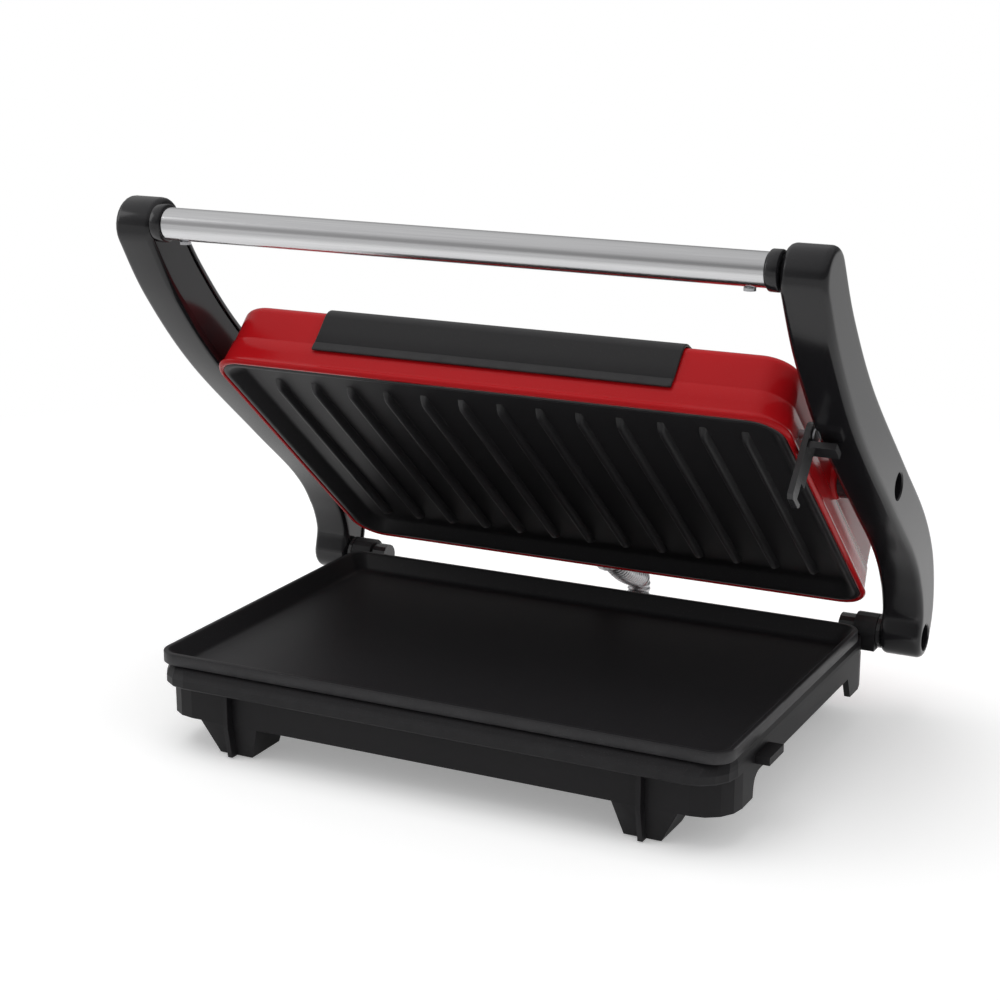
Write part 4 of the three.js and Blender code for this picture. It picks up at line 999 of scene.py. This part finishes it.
class PRESS_OT_studio(bpy.types.Operator):
    """Makes the pale floor, the soft lamps, the white surroundings and the camera"""

    bl_idname = "press.studio"
    bl_label = "Studio"

    def execute(self, context):
        scene, studio = context.scene, context.scene.press_studio
        mesh = bpy.data.meshes.new("floor")
        reach = FLOOR_REACH
        mesh.from_pydata([(-reach, -reach, 0), (reach, -reach, 0), (reach, reach, 0),
                          (-reach, reach, 0)], [], [(0, 1, 2, 3)])
        floor = bpy.data.objects.new("floor", mesh)
        scene.collection.objects.link(floor)
        paper, tree, shader = new_material("pale_floor")
        mesh.materials.append(paper)
        where = tree.nodes.new("ShaderNodeTexCoord").outputs["Object"]
        span = tree.nodes.new("ShaderNodeVectorMath")
        span.operation = "LENGTH"
        tree.links.new(where, span.inputs[0])
        away = maths(tree, "MULTIPLY_ADD", span.outputs["Value"], FADE_RATE, FADE_START, clamp=True)
        pale = mixed(tree, away, FLOOR_GREY, BLACK)
        tree.links.new(pale, shader.inputs["Base Color"])
        shader.inputs["Roughness"].default_value = 1.0
        shader.inputs["Specular IOR Level"].default_value = 0.0
        glow = mixed(tree, away, NEAR_GLOW, WHITE)
        mirrored = mixed(tree, away, NEAR_MIRROR_GLOW, FAR_MIRROR_GLOW)
        rays = tree.nodes.new("ShaderNodeLightPath")
        straight = maths(tree, "MAXIMUM", rays.outputs["Is Camera Ray"],
                         rays.outputs["Is Transmission Ray"])
        dim = mixed(tree, rays.outputs["Is Glossy Ray"], BLACK, mirrored)
        tree.links.new(mixed(tree, straight, dim, glow), shader.inputs["Emission Color"])
        shader.inputs["Emission Strength"].default_value = 1.0

        world = bpy.data.worlds.new("white_surroundings")
        scene.world = world
        world.use_nodes = True
        sky = world.node_tree
        background = sky.nodes["Background"]
        where = sky.nodes.new("ShaderNodeTexCoord").outputs["Generated"]
        apart = sky.nodes.new("ShaderNodeSeparateXYZ")
        sky.links.new(where, apart.inputs[0])
        bands = sky.nodes.new("ShaderNodeValToRGB")
        ramp = bands.color_ramp
        while len(ramp.elements) < len(SKY_BANDS):
            ramp.elements.new(0.5)
        for element, (position, level) in zip(ramp.elements, SKY_BANDS):
            element.position = position
            element.color = (level, level, level, 1.0)
        half = maths(sky, "MULTIPLY_ADD", apart.outputs["Z"], 0.5, 0.5)
        sky.links.new(half, bands.inputs["Fac"])
        rays = sky.nodes.new("ShaderNodeLightPath")
        glossy = maths(sky, "MAXIMUM", rays.outputs["Is Glossy Ray"],
                       rays.outputs["Is Transmission Ray"])
        left_glow = maths(sky, "MULTIPLY", apart.outputs["X"], LEFT_GLOW, clamp=True)
        banded = maths(sky, "ADD", bands.outputs["Color"], left_glow)
        soft = mixed(sky, glossy, SKY_GREY, banded)
        white = mixed(sky, rays.outputs["Is Camera Ray"], soft, WHITE)
        sky.links.new(white, background.inputs["Color"])
        background.inputs["Strength"].default_value = 1.0

        over = area_lamp("lamp_over", (-0.25, -0.15, 1.5), MIDDLE, 1.3, studio.light)
        over.visible_glossy = False
        area_lamp("lamp_left", (-1.5, -0.7, 0.9), MIDDLE, 0.9, studio.light * 0.35)
        right = area_lamp("lamp_right", (1.5, -0.4, 0.8), MIDDLE, 0.9, studio.light * 0.3, 1.2)
        right.visible_glossy = False

        data = bpy.data.cameras.new("camera")
        data.sensor_width = CAMERA_SENSOR
        data.lens = CAMERA_LENS
        camera = bpy.data.objects.new("camera", data)
        scene.collection.objects.link(camera)
        scene.camera = camera
        az, el = studio.azimuth, studio.elevation
        back = Vector((math.sin(az) * math.cos(el), -math.cos(az) * math.cos(el), math.sin(el)))
        target = RIM_CENTRE + CAMERA_TARGET
        camera.location = target + back * studio.distance
        camera.rotation_mode = "QUATERNION"
        camera.rotation_quaternion = (-back).to_track_quat("-Z", "Y")
        scene.view_settings.view_transform = "Standard"
        return {"FINISHED"}


STEPS = (
    PRESS_OT_lid_cover,
    PRESS_OT_accent_panel,
    PRESS_OT_cooking_plates,
    PRESS_OT_arms,
    PRESS_OT_conduit,
    PRESS_OT_base_and_fittings,
    PRESS_OT_studio,
)


class PRESS_PT_panel(bpy.types.Panel):
    """The press's colours, detail, studio and building steps"""

    bl_label = "Panini press"
    bl_space_type = "VIEW_3D"
    bl_region_type = "UI"
    bl_category = "Press"

    def draw(self, context):
        for group in (context.scene.press_colours, context.scene.press_detail,
                      context.scene.press_studio):
            for label in group.bl_rna.properties.keys():
                if label not in {"rna_type", "name"}:
                    self.layout.prop(group, label)
        for step in STEPS:
            self.layout.operator(step.bl_idname)


CLASSES = (PressColours, PressDetail, PressStudio, *STEPS, PRESS_PT_panel)


def register():
    for cls in CLASSES:
        bpy.utils.register_class(cls)
    bpy.types.Scene.press_colours = bpy.props.PointerProperty(type=PressColours)
    bpy.types.Scene.press_detail = bpy.props.PointerProperty(type=PressDetail)
    bpy.types.Scene.press_studio = bpy.props.PointerProperty(type=PressStudio)


def unregister():
    del bpy.types.Scene.press_colours
    del bpy.types.Scene.press_detail
    del bpy.types.Scene.press_studio
    for cls in reversed(CLASSES):
        bpy.utils.unregister_class(cls)


def main():
    register()
    make_grain_group()
    make_brush_group()
    make_edge_wear_highlight_group()
    bpy.ops.press.lid_cover()
    bpy.ops.press.accent_panel()
    bpy.ops.press.cooking_plates()
    bpy.ops.press.arms()
    bpy.ops.press.conduit()
    bpy.ops.press.base_and_fittings()
    bpy.ops.press.studio()


if __name__ == "__main__":
    main()
